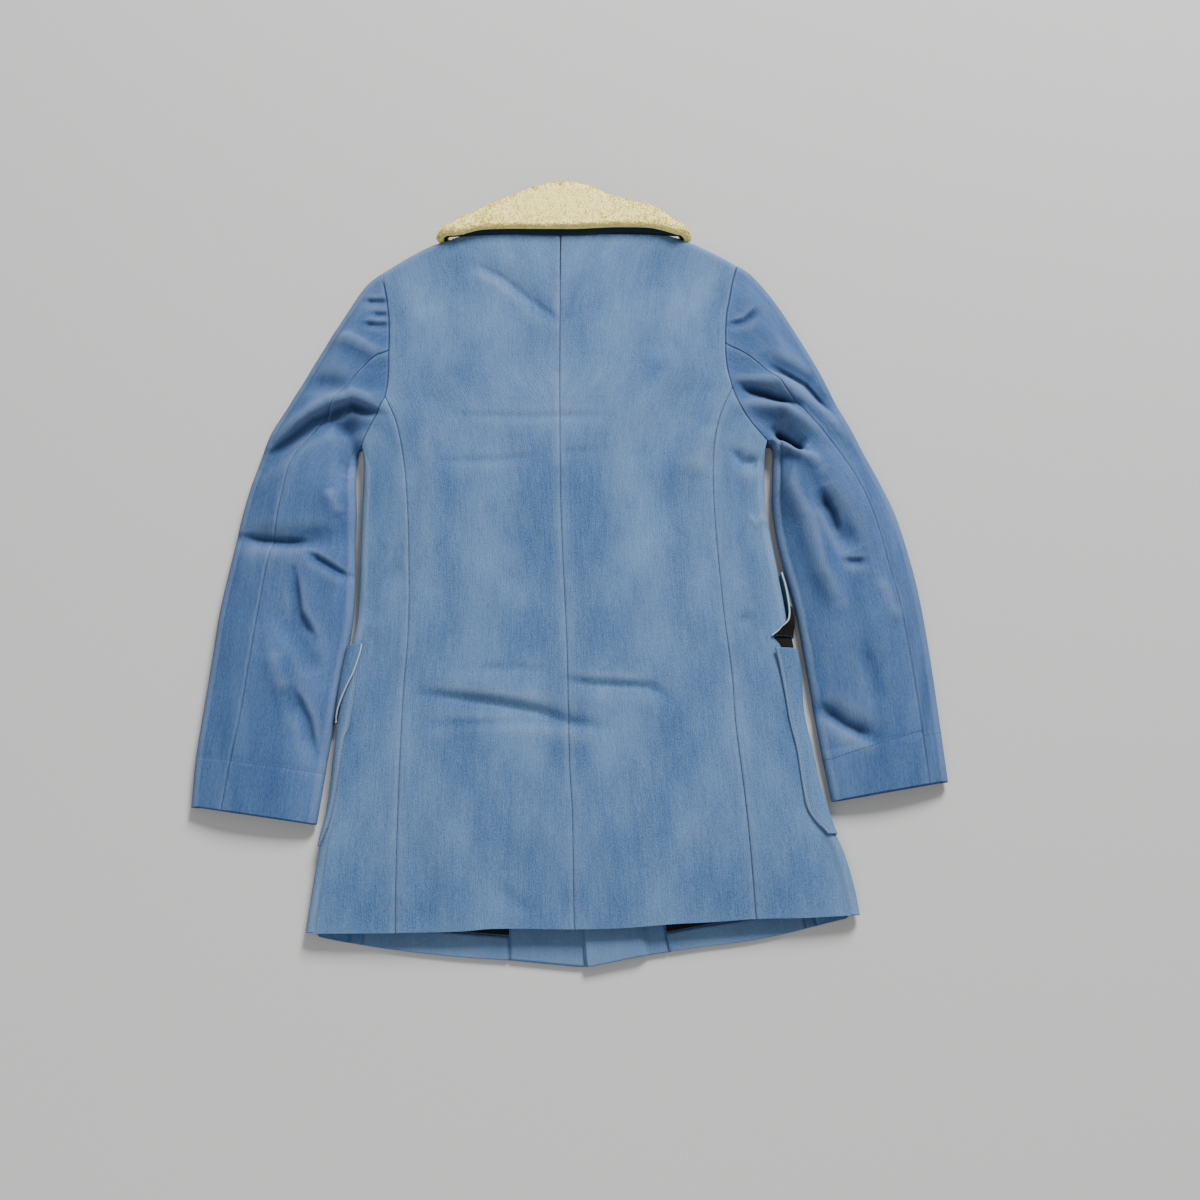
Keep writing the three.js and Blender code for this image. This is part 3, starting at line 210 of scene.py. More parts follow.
# Columns: y, x
SEAM_LEFT = ((-346, -201), (-238, -204), (-120, -205), (-37, -203), (49, -207), (100, -211), (155, -218),
             (202, -229), (234, -243))
SEAM_RIGHT = ((-335, 154), (-280, 152), (-220, 148), (-140, 140), (-89, 138), (-27, 132), (49, 127), 
              (95, 125), (143, 125), (179, 128), (213, 136), (246, 150))
EDGE_LEFT = ((-348, -291), (-295, -286), (-259, -282), (-226, -276), (-177, -273), (-143, -271), (-96, -268),
             (-67, -265), (-29, -260), (10, -260), (54, -261.5), (90, -262.5), (130, -263.5), (160, -265),
             (178, -267))
EDGE_RIGHT = ((-331, 258), (-303, 254), (-271, 246), (-246, 236), (-226, 230), (-200, 223), (-167, 218),
              (-127, 211), (-85, 210), (-62, 206), (-1, 197), (32, 192), (92, 184), (138, 183.5), (165, 185),
              (182, 187))
CENTRE_BACK = ((-345, -25), (-220, -28), (-180, -31), (-53, -35), (37, -40), (103, -43), (204, -45),
               (279, -46), (450, -47))
CLOSING_LEFT = ((-373, 31), (398, -12))
CLOSING_RIGHT = ((-380, -14), (398, -58))

# Columns: x, y
ARM_LOW_LEFT = ((-267, 178), (-261, 195), (-254, 210), (-248, 223), (-243, 234))
ARM_HIGH_LEFT = ((-243, 234), (-241, 252), (-241, 272), (-242, 294), (-243, 316), (-245, 338), (-248, 358),
                 (-252, 377), (-256, 393))
ARM_LOW_RIGHT = ((187, 182), (178, 194), (168, 207), (158, 224), (150, 246))
ARM_HIGH_RIGHT = ((150, 246), (146, 264), (144, 283), (144, 303), (145, 323), (147, 344), (151, 364),
                  (155, 385), (160, 404))
HEM_BACK = ((-291, -349), (-203, -348.5), (-137, -347), (-104, -344.5), (-26, -345), (21, -344), (73, -340),
            (113, -338), (156, -335), (202, -334), (258, -331))
HEM_FRONT = ((-291, -349), (-256, -356), (-195, -365), (-134, -371), (-88, -374), (-33, -379), (-14, -380),
             (5, -377), (41, -370), (68, -366), (102, -361), (143, -356), (182, -349), (224, -339),
             (258, -331))

# Columns: share of the top edge, x, y, how far it rounds down
BACK_TOP_LEFT = ((0, -258.7, 401.6, 1), (0.2, -217, 430, 1), (0.34, -187, 442.5, 1), (0.44, -166, 447, 0),
                 (0.7, -112, 450, 0), (1, -47.3, 450, 0))
BACK_TOP_RIGHT = ((0, 162.5, 412.6, 1), (0.2, 134, 430, 1), (0.34, 106, 442, 1), (0.44, 82, 447.5, 0),
                  (0.7, 20, 450.5, 0), (1, -46.7, 450, 0))
FRONT_TOP_LEFT = ((0, -258.7, 401.6, 1), (0.2, -217, 430, 1), (0.34, -187, 442.5, 1), (0.44, -166, 436, 0),
                  (0.7, -104, 408, 0), (1, -12, 398, 0))
FRONT_TOP_RIGHT = ((0, 162.5, 412.6, 1), (0.2, 134, 430, 1), (0.34, 106, 442, 1), (0.44, 82, 436, 0),
                   (0.7, 18, 408, 0), (1, -58, 398, 0))

# Columns: y, edge height, crown
BODY_HEIGHT = ((-380, 11.5, 3), (-345, 12, 4), (-250, 15, 7), (-100, 17, 9), (50, 18, 11), (200, 18.5, 11.5),
               (300, 18, 10), (380, 18, 6), (450, 21, 1.5))

# Columns: y, left limit, right limit
CROWN_REACH = ((-348, -291, 258), (-100, -268, 210), (60, -262, 190), (178, -268, 188), (230, -288, 210),
               (300, -300, 216), (360, -284, 192), (400, -262, 166), (450, -262, 166))

# Places where pockets and flaps lie beneath. Columns: side, inner limit, fade across, low y, high y, fade
PATCH_BEDS = ((-1, 92, 30, -322, 8, 30), (-1, 92, 30, -200, 8, 28), (1, 34, 26, -296, 88, 28))

# Columns: inner x, inner y, outer x, outer y, seam share, edge height, crown
SLEEVE_LEFT = (
    (-267.5, 177.6, -259, 402, 0.5, 18, 6), (-272, 174.5, -279, 382, 0.5, 17, 9),
    (-274, 162, -305, 333, 0.49, 16, 12), (-273.5, 146, -330, 282, 0.525, 16, 13),
    (-271.5, 124, -353, 233, 0.625, 16, 13), (-269, 96, -373, 188, 0.72, 16, 13),
    (-268, 66, -387, 138, 0.71, 15, 13), (-266, 34, -396, 88, 0.7, 15, 12),
    (-264.5, 1, -402, 40, 0.715, 15, 11), (-266, -40, -409, -15, 0.71, 14, 10),
    (-272, -85, -411.5, -65, 0.715, 14, 9), (-278, -140, -415, -122, 0.72, 13, 7),
    (-283, -192, -418, -175, 0.745, 12, 5), (-288, -242, -417.5, -225, 0.78, 11, 4))
SLEEVE_RIGHT = (
    (187.5, 181.6, 162.7, 413, 0.5, 18, 6), (192.5, 178.5, 180, 400, 0.48, 17, 9),
    (194, 167, 205, 366, 0.46, 16, 12), (193, 151, 230, 320, 0.505, 16, 13),
    (191.5, 130, 255, 268, 0.614, 16, 13), (190.5, 103, 275, 220, 0.743, 16, 13),
    (193, 75, 292, 180, 0.83, 15, 13), (197, 47, 311, 137, 0.865, 15, 12),
    (203, 19, 326, 97, 0.85, 15, 11), (210, -15, 337, 50, 0.84, 14, 10),
    (216, -60, 345, 0, 0.855, 14, 9), (222, -112, 350.5, -62, 0.87, 13, 7),
    (229, -168, 354.5, -130, 0.88, 12, 5), (237, -219, 358, -199, 0.88, 11, 4))

# Columns: y, x of the visible seam
POCKET_LEFT = ((-60, -252), (-80, -254), (-110, -256), (-143, -259), (-157, -263), (-191, -266),
               (-218, -268.5), (-240, -272), (-256, -277), (-264, -280))
POCKET_RIGHT = ((-60, 184), (-80, 188), (-110, 192.5), (-138, 196), (-168, 202), (-203, 205.5), (-226, 209),
                (-240, 217), (-248, 225), (-252, 229))

# Columns: y, x of the visible end, how far it stands off
FLAP_LEFT = ((-56, -251, 0.6), (-66, -252.5, 0.6), (-80, -256, 0.8), (-100, -262, 1), (-122, -268, 0.8),
             (-138, -271, 0.4))
FLAP_RIGHT = ((26, 192, 0.6), (10, 194, 0.9), (-8, 196, 1), (-22, 197, 1), (-32, 196, 0.8), (-40, 190, 0.3),
              (-46, 182, 0))

# Columns: x, roll line, lower edge of the fall, neck seam
COLLAR_BACK = ((-177.8, 462, 446, 447), (-167, 470, 447, 448), (-142, 483.5, 454, 450),
               (-122, 494, 455.5, 450.5), (-102, 503, 456, 451), (-81, 513, 456, 451), (-55, 520, 456, 451),
               (-29, 520, 456, 451), (-7, 512.5, 457, 451), (15, 501, 458, 451), (36, 494, 458, 451),
               (59, 488.5, 457, 450.5), (75, 479, 453, 449.5), (91.8, 465, 447, 448))
COLLAR_FRONT = ((-177.8, 453, 443, 440.5), (-150, 445, 414, 431), (-104, 431, 386, 412), (-48, 423, 372, 407),
                (-38, 423, 372, 407), (18, 431, 386, 412), (64, 445, 414, 431), (91.8, 453, 443, 440.5))
COLLAR_END = (457.5, 445.8, 444.6)

MAIN_FOLDS = (
    Fold(((130, 252), (92, 208), (61, 159), (64, 110), (70, 58)), -5, 26),
    Fold(((127, 200), (112, 165), (101, 135)), 3, 15),
    Fold(((-145, 409), (-116, 393), (-81, 361), (-48, 331)), -2.2, 13),
    Fold(((-196, 200), (-190, 110), (-190, 30)), 1.8, 12),
    Fold(((-181, -112), (-107, -123), (-68, -131), (1, -147)), -2.8, 10),
    Fold(((-176, -94), (-107, -104), (-40, -120)), 1.6, 12),
    Fold(((-33, -97), (-9, -102), (51, -105), (66, -113)), -2, 9),
    Fold(((-216, 38), (-234, 0), (-246, -32)), -3, 12),
    Fold(((149, 168), (160, 155), (176, 156)), -3, 10),
    Fold(((-187, -260), (-175, -310), (-171, -346)), -2, 14),
    Fold(((-247, 225), (-280, 235), (-321, 215), (-368, 180)), 6, 13),
    Fold(((-258, 200), (-300, 203), (-338, 180), (-372, 150)), -4, 12),
    Fold(((-304, 316), (-280, 304), (-250, 288)), 3.4, 11),
    Fold(((-328, 254), (-305, 248), (-281, 240)), -3.2, 13),
    Fold(((-291, 206), (-281, 176), (-276, 140)), -6, 12),
    Fold(((-392, 66), (-340, 60), (-290, 65)), -3.4, 13),
    Fold(((-333, -26), (-312, -58), (-299, -88)), -2.4, 11),
    Fold(((192, 280), (235, 256), (264, 219)), -4, 10),
    Fold(((150, 259), (204, 249), (249, 212), (282, 178)), 5, 11),
    Fold(((158, 227), (209, 217), (245, 186)), 4.2, 9),
    Fold(((200, 196), (214, 182), (228, 168)), -6, 8),
    Fold(((196, 182), (226, 164), (242, 146)), 3.6, 9),
    Fold(((200, 158), (210, 120), (225, 85), (238, 27), (253, -8)), 4.4, 12),
    Fold(((242, 122), (258, 86), (274, 50)), -5, 13),
    Fold(((231, -119), (257, -139), (282, -152)), -2.4, 10),
)

# Sharper creases on the same cloth: body, left sleeve, then right sleeve
FINE_FOLDS = (
    Fold(((-164, 209), (-80, 206), (12, 208)), -1.0, 4.5),
    Fold(((-179, 153), (-118, 152), (-76, 157)), -1.1, 4.5),
    Fold(((-43, 162), (-1, 165)), -0.8, 4),
    Fold(((-134, -84), (-57, -84)), -0.8, 4.5),
    Fold(((-179, -143), (-90, -140), (-21, -142)), -1.0, 5),
    Fold(((-181, -111), (-107, -121), (-68, -129), (-29, -142), (1, -147)), -1.6, 7, Flank.LOWER),
    Fold(((-178, -103), (-107, -112), (-60, -121)), 1.1, 5),
    Fold(((-33, -97), (-9, -101), (51, -104), (66, -113)), -1.3, 6, Flank.LOWER),
    Fold(((-30, -90), (51, -96)), 0.8, 5),
    Fold(((-145, 409), (-116, 393), (-81, 361), (-58, 341), (-48, 329)), -1.7, 7, Flank.UPPER),
    Fold(((-152, 398), (-120, 381), (-90, 352)), 0.9, 7),
    Fold(((-187, 388), (-200, 345)), -1.4, 9),
    Fold(((139, 378), (134, 350)), -1.2, 9),
    Fold(((-103, -306), (-68, -329)), -1.2, 7),
    Fold(((150, -24), (158, -34)), -1.8, 9),
    Fold(((146, 170), (158, 154), (174, 158)), -1.6, 4),
    Fold(((163, 92), (170, 80), (178, 90)), 1.2, 4),
    Fold(((-212, 60), (-232, 10)), -1.2, 5),
    Fold(((40, -60), (70, -20), (96, 10)), -0.8, 14),
    Fold(((-150, 60), (-110, 20), (-60, 0)), -0.7, 16),
    Fold(((20, 330), (60, 300), (110, 290)), -0.8, 14),
    Fold(((-274, 362), (-249, 361)), -2.0, 5.8, Flank.UPPER),
    Fold(((-264, 344), (-247, 343)), -1.8, 5.1, Flank.UPPER),
    Fold(((-273, 330), (-246, 329)), -2.1, 5.8, Flank.UPPER),
    Fold(((-246, 215), (-280, 223), (-321, 204), (-366, 170)), -5.1, 7.2, Flank.UPPER),
    Fold(((-328, 24), (-320, -21), (-303, -47)), -2.7, 8.7, Flank.UPPER),
    Fold(((-314, 45), (-294, 34), (-273, 22)), -2.5, 7.2, Flank.UPPER),
    Fold(((-392, 70), (-350, 62), (-318, 60)), -2.1, 7.2, Flank.UPPER),
    Fold(((-318, -108), (-304, -135), (-295, -169)), -2.5, 10.2, Flank.UPPER),
    Fold(((-346, -60), (-330, -110)), 1.7, 10),
    Fold(((-300, 120), (-284, 90)), 2.4, 8),
    Fold(((149, 329), (167, 334), (180, 347)), -2.5, 5.8, Flank.UPPER),
    Fold(((160, 249), (189, 239), (222, 221)), -4.8, 7.2, Flank.UPPER),
    Fold(((196, 273), (235, 252), (262, 219)), -2.7, 7.2, Flank.UPPER),
    Fold(((199, 195), (213, 181), (227, 167)), -5.7, 6.5, Flank.UPPER),
    Fold(((191, 189), (202, 170), (226, 158)), 2.4, 5),
    Fold(((265, 38), (285, 38)), -2.1, 5.8, Flank.UPPER),
    Fold(((245, 118), (256, 96), (262, 70)), -2.7, 8.7, Flank.UPPER),
    Fold(((231, -119), (257, -139), (282, -152)), -1.8, 7.2, Flank.UPPER),
    Fold(((300, 20), (318, -30)), 1.5, 10),
    Fold(((280, -60), (292, -120)), -1.4, 9),
)


@dataclass(frozen=True)
class Pattern:
    """The outlines of one side of the coat."""

    side: Side
    seam: Rows
    edge: Rows
    arm_low: Rows
    arm_high: Rows
    shoulder_way: tuple[float, float]
    back_top: Rows
    front_top: Rows
    closing: Rows
    sleeve: Rows
    pocket: Rows
    flap: Rows


PATTERNS = (
    Pattern(Side.LEFT, SEAM_LEFT, EDGE_LEFT, ARM_LOW_LEFT, ARM_HIGH_LEFT, (-0.3, 0.954), BACK_TOP_LEFT,
            FRONT_TOP_LEFT, CLOSING_LEFT, SLEEVE_LEFT, POCKET_LEFT, FLAP_LEFT),
    Pattern(Side.RIGHT, SEAM_RIGHT, EDGE_RIGHT, ARM_LOW_RIGHT, ARM_HIGH_RIGHT, (0.28, 0.96), BACK_TOP_RIGHT,
            FRONT_TOP_RIGHT, CLOSING_RIGHT, SLEEVE_RIGHT, POCKET_RIGHT, FLAP_RIGHT),
)


def mix(a: np.ndarray | float, b: np.ndarray | float, t: np.ndarray | float) -> np.ndarray | float:
    """Value a share t of the way from a to b."""
    return a + (b - a) * t


def ease(t: np.ndarray | float) -> np.ndarray:
    """Soft step from 0 to 1."""
    c = np.clip(t, 0, 1)
    return c * c * (3 - 2 * c)


def band(v: np.ndarray, low: float, high: float, soft: float) -> np.ndarray:
    """1 between low and high, falling to 0 over soft."""
    return ease((v - low) / soft) * ease((high - v) / soft)


def unit(x: np.ndarray, y: np.ndarray) -> tuple[np.ndarray, np.ndarray]:
    """The direction (x, y) at length 1."""
    size = np.hypot(x, y)
    return x / size, y / size


def spread(length: float, spacing: float, crisp: bool = True) -> np.ndarray:
    """Shares of a length, closer together at its ends where they are crisp.

    Args:
        length: The length in millimetres.
        spacing: The spacing in millimetres.
        crisp: Whether close lines are added at both ends.

    Returns:
        The shares, from 0 to 1.
    """
    plain = np.linspace(0, 1, max(2, int(round(length / spacing)) + 1))
    if not crisp:
        return plain
    near = np.array([0.9, 1.9]) / length
    return np.unique(np.concatenate([plain, near, 1 - near]))


def stack(x: np.ndarray, y: np.ndarray, z: np.ndarray) -> np.ndarray:
    """Points from three arrays that share a shape once broadcast."""
    return np.stack(np.broadcast_arrays(x, y, z), axis=-1).astype(float)


@dataclass(frozen=True)
class CoatForm:
    """The heights of the coat as it lies, over plan points.

    The sleeves' folds stand and sink further than the coat's, from sleeve_start off its middle.
    """

    middle: Curve = Curve.of(CENTRE_BACK, 0, 1)
    edge_height: Curve = Curve.of(BODY_HEIGHT, 0, 1)
    crown: Curve = Curve.of(BODY_HEIGHT, 0, 2)
    reach_left: Curve = Curve.of(CROWN_REACH, 0, 1)
    reach_right: Curve = Curve.of(CROWN_REACH, 0, 2)
    body_middle: float = -46.0
    sleeve_start: float = 185.0
    sleeve_fade: float = 50.0
    sleeve_slack: float = 0.45
    sleeve_sink: float = 0.85
    wave_height: float = 0.22
    ripple_height: float = 0.08
    armpit_fade: float = 34.0
    collar_from: float = -216.0
    collar_to: float = 130.0
    collar_fade: float = 24.0
    collar_low: float = 270.0
    collar_slope: float = 60.0

    def folds(self, x: np.ndarray, y: np.ndarray) -> np.ndarray:
        """Height of every fold, crease and slow wave at the points.

        Args:
            x: Plan X of the points.
            y: Plan Y of the points.

        Returns:
            The heights.
        """
        x, y = np.broadcast_arrays(np.asarray(x, float), np.asarray(y, float))
        total = sum(fold.lift(x, y) for fold in MAIN_FOLDS + FINE_FOLDS)
        wave = np.sin(x / 21 + y / 47 + 1.3) * np.sin(y / 29 - x / 83) + 0.7 * np.sin(x / 13 - y / 31 + 4)
        ripple = np.sin(x / 9.1 + np.sin(y / 17) * 1.4) * np.sin(y / 11.7 + np.sin(x / 19))
        on_sleeve = ease((np.abs(x - self.body_middle) - self.sleeve_start) / self.sleeve_fade)
        slack = np.where(total > 0, self.sleeve_slack, self.sleeve_sink)
        waves = self.wave_height * wave + self.ripple_height * ripple
        return total * (1 + slack * on_sleeve) + waves

    def top(self, x: np.ndarray, y: np.ndarray) -> np.ndarray:
        """Top of the upper layer at the points.

        Args:
            x: Plan X of the points.
            y: Plan Y of the points.

        Returns:
            The heights.
        """
        middle = self.middle.at(y)
        reach = np.where(x < middle, self.reach_left.at(y), self.reach_right.at(y))
        dome = 1 - np.clip((x - middle) / (reach - middle), 0, 1)**CROWN_POWER
        return self.edge_height.at(y) + self.crown.at(y) * dome + self.folds(x, y)

    def collar_rise(self, x: np.ndarray, y: np.ndarray) -> np.ndarray:
        """Share by which the fronts are lifted over the collar's front."""
        across = band(x, self.collar_from, self.collar_to, self.collar_fade)
        return across * ease((y - self.collar_low) / self.collar_slope)

    def bottom(self, x: np.ndarray, y: np.ndarray) -> np.ndarray:
        """Underside, lifted where pockets, flaps and collar lie beneath it.

        Args:
            x: Plan X of the points.
            y: Plan Y of the points.

        Returns:
            The heights.
        """
        patches = sum(ease((side * x - inner) / across) * band(y, low, high, along)
                      for side, inner, across, low, high, along in PATCH_BEDS)
        return COLLAR_RISE * self.collar_rise(x, y) + PATCH_RISE * patches

    def wrap(self, pattern: Pattern, y: np.ndarray, wrap: np.ndarray, out: np.ndarray | float) -> np.ndarray:
        """Points on the coat's side, over its rounded edge.

        Args:
            pattern: The side's outlines.
            y: Plan Y of the points.
            wrap: Distance over the surface from the edge, positive on top.
            out: Distance off the surface.

        Returns:
            The points.
        """
        y, wrap, out = np.broadcast_arrays(np.asarray(y, float), np.asarray(wrap, float), out)
        sign = pattern.side.value
        armpit = pattern.edge[-1][0]
        rounding = BODY_ROUND * (1 - ease((y - armpit + self.armpit_fade) / self.armpit_fade))
        centre = Curve.of(pattern.edge, 0, 1).at(y) - sign * rounding
        inward = np.maximum(np.abs(wrap) - QUARTER, 0)
        x = centre - sign * inward
        top, bottom = self.top(centre, y), self.bottom(centre, y)
        angle = np.clip(wrap / QUARTER, -1, 1) * math.pi / 2
        arc_x = centre + sign * (rounding + out) * np.cos(angle)
        arc_z = (top + bottom) / 2 + ((top - bottom) / 2 + out) * np.sin(angle)
        z = np.where(wrap < -QUARTER, self.bottom(x, y) - out, arc_z)
        z = np.where(wrap > QUARTER, self.top(x, y) + out, z)
        return stack(np.where(inward > 0, x, arc_x), y, z)

    def wrap_at(self, pattern: Pattern, y: np.ndarray, x: np.ndarray) -> np.ndarray:
        """Wrap distance of plan points on the top of the coat.

        Args:
            pattern: The side's outlines.
            y: Plan Y of the points.
            x: Plan X of the points.

        Returns:
            The distances over the surface from the edge.
        """
        inward = (Curve.of(pattern.edge, 0, 1).at(y) - x) * pattern.side.value
        curved = QUARTER * np.arccos(1 - np.clip(inward / BODY_ROUND, 0, 1)) / (math.pi / 2)
        return np.where(inward >= BODY_ROUND, QUARTER + inward - BODY_ROUND, curved)


@dataclass(frozen=True)
class Finish:
    """A surface finish that makes its own material."""

    name: str
    slot: str
    base: tuple[float, float, float]
    second: tuple[float, float, float]
    rough: float = 0.9

    def material(self) -> bpy.types.Material:
        """Finds or makes the material.

        Returns:
            The material, shared by every piece with this finish.
        """
        found = bpy.data.materials.get(self.name)
        if found:
            return found
        made = bpy.data.materials.new(self.name)
        made.use_nodes = True
        self.dress(made.node_tree, made.node_tree.nodes["Principled BSDF"])
        return made

    def dress(self, tree: bpy.types.NodeTree, shader: bpy.types.Node) -> None:
        """Sets a plain colour; kinds of cloth add their own nodes.

        Args:
            tree: The material's nodes.
            shader: Its main shader.
        """
        shader.inputs["Base Color"].default_value = (*self.base, 1)
        shader.inputs["Roughness"].default_value = self.rough
        shader.inputs["Specular IOR Level"].default_value = 0.15


def group_with(name: str, sockets: Sequence[tuple[str, str, str, float]]) -> bpy.types.NodeTree:
    """Makes an empty shader node group.

    Args:
        name: Its name.
        sockets: Name, INPUT or OUTPUT, socket type and default of each socket.

    Returns:
        The group, with its input and output nodes.
    """
    tree = bpy.data.node_groups.new(name, "ShaderNodeTree")
    for label, way, kind, default in sockets:
        socket = tree.interface.new_socket(name=label, in_out=way, socket_type=kind)
        if kind == "NodeSocketFloat":
            socket.default_value = default
    tree.nodes.new("NodeGroupInput").name = "in"
    tree.nodes.new("NodeGroupOutput").name = "out"
    return tree


def math_node(tree: bpy.types.NodeTree, kind: str, a: object, b: object) -> bpy.types.NodeSocket:
    """Adds a math node.

    Args:
        tree: Where it goes.
        kind: Its operation.
        a: First value, a number or a socket.
        b: Second value, a number or a socket.

    Returns:
        Its output.
    """
    node = tree.nodes.new("ShaderNodeMath")
    node.operation = kind
    for i, value in enumerate((a, b)):
        if isinstance(value, (int, float)):
            node.inputs[i].default_value = value
        else:
            tree.links.new(value, node.inputs[i])
    return node.outputs[0]


def noise_node(tree: bpy.types.NodeTree, vector: bpy.types.NodeSocket, size: tuple[float, float, float],
               detail: float, low: float, high: float) -> bpy.types.NodeSocket:
    """Adds stretched noise with its contrast raised.

    Args:
        tree: Where it goes.
        vector: The coordinates.
        size: Repeats a metre along each axis.
        detail: Octaves.
        low: Noise value that becomes 0.
        high: Noise value that becomes 1.

    Returns:
        The value, from 0 to 1.
    """
    mapping = tree.nodes.new("ShaderNodeMapping")
    mapping.inputs["Scale"].default_value = size
    tree.links.new(vector, mapping.inputs["Vector"])
    texture = tree.nodes.new("ShaderNodeTexNoise")
    texture.inputs["Scale"].default_value = 1.0
    texture.inputs["Detail"].default_value = detail
    tree.links.new(mapping.outputs[0], texture.inputs["Vector"])
    spread_node = tree.nodes.new("ShaderNodeMapRange")
    spread_node.inputs["From Min"].default_value = low
    spread_node.inputs["From Max"].default_value = high
    tree.links.new(texture.outputs[0], spread_node.inputs["Value"])
    return spread_node.outputs[0]


# How much of the denim's streaks comes from its warp, its thicker threads and its grain
WARP_SHARE = 0.22
SLUB_SHARE = 0.3
GRAIN_SHARE = 0.48


def weave_group() -> bpy.types.NodeTree:
    """The denim weave: streaks along the warp, slow fading and the twill's relief.

    Returns:
        The group, built once, with Streaks, Fade and Relief outputs.
    """
    found = bpy.data.node_groups.get("denim_weave")
    if found:
        return found
    tree = group_with("denim_weave", (
        ("Cloth", "INPUT", "NodeSocketVector", 0), ("Contrast", "INPUT", "NodeSocketFloat", 1.0),
        ("Streaks", "OUTPUT", "NodeSocketFloat", 0), ("Fade", "OUTPUT", "NodeSocketFloat", 0),
        ("Relief", "OUTPUT", "NodeSocketFloat", 0)))
    source, sink = tree.nodes["in"], tree.nodes["out"]
    cloth = source.outputs["Cloth"]
    warp = noise_node(tree, cloth, (380, 22, 1), 3, 0.3, 0.7)
    slub = noise_node(tree, cloth, (1100, 110, 1), 2, 0.28, 0.72)
    grain = noise_node(tree, cloth, (620, 520, 1), 3, 0.32, 0.68)
    twill = noise_node(tree, cloth, (1500, 1300, 1), 2, 0.25, 0.75)
    fade = noise_node(tree, cloth, (17, 8, 1), 5, 0.34, 0.66)
    warp_part = math_node(tree, "MULTIPLY", warp, WARP_SHARE)
    slub_part = math_node(tree, "MULTIPLY", slub, SLUB_SHARE)
    grain_part = math_node(tree, "MULTIPLY", grain, GRAIN_SHARE)
    streaks = math_node(tree, "ADD", math_node(tree, "ADD", warp_part, slub_part), grain_part)
    centred = math_node(tree, "SUBTRACT", streaks, 0.5)
    centred = math_node(tree, "MULTIPLY", centred, source.outputs["Contrast"])
    tree.links.new(math_node(tree, "ADD", centred, 0.5), sink.inputs["Streaks"])
    tree.links.new(fade, sink.inputs["Fade"])
    tree.links.new(math_node(tree, "ADD", twill, slub), sink.inputs["Relief"])
    return tree


def curl_group() -> bpy.types.NodeTree:
    """The fleece's curls: a slow tone and a knotted relief.

    Returns:
        The group, built once, with Tone and Relief outputs.
    """
    found = bpy.data.node_groups.get("fleece_curls")
    if found:
        return found
    tree = group_with("fleece_curls", (
        ("Place", "INPUT", "NodeSocketVector", 0), ("Tone", "OUTPUT", "NodeSocketFloat", 0),
        ("Relief", "OUTPUT", "NodeSocketFloat", 0)))
    place = tree.nodes["in"].outputs["Place"]
    tree.links.new(noise_node(tree, place, (150, 150, 150), 4, 0.3, 0.7), tree.nodes["out"].inputs["Tone"])
    tree.links.new(noise_node(tree, place, (520, 520, 520), 3, 0.3, 0.7), tree.nodes["out"].inputs["Relief"])
    return tree


def mix_colour(tree: bpy.types.NodeTree, factor: bpy.types.NodeSocket, a: object,
               b: object) -> bpy.types.NodeSocket:
    """Adds a colour mix.

    Args:
        tree: Where it goes.
        factor: The share of b.
        a: First colour, a tuple or a socket.
        b: Second colour, a tuple or a socket.

    Returns:
        The mixed colour.
    """
    node = tree.nodes.new("ShaderNodeMix")
    node.data_type = "RGBA"
    tree.links.new(factor, node.inputs[0])
    for index, value in ((6, a), (7, b)):
        if isinstance(value, tuple):
            node.inputs[index].default_value = (*value, 1)
        else:
            tree.links.new(value, node.inputs[index])
    return node.outputs[2]


def bump(tree: bpy.types.NodeTree, shader: bpy.types.Node, height: bpy.types.NodeSocket,
         depth: float) -> None:
    """Gives the shader a relief.

    Args:
        tree: The material's nodes.
        shader: The shader.
        height: The relief, from 0 up.
        depth: Its depth in metres.
    """
    node = tree.nodes.new("ShaderNodeBump")
    node.inputs["Distance"].default_value = depth
    node.inputs["Strength"].default_value = 0.8
    tree.links.new(height, node.inputs["Height"])
    tree.links.new(node.outputs[0], shader.inputs["Normal"])


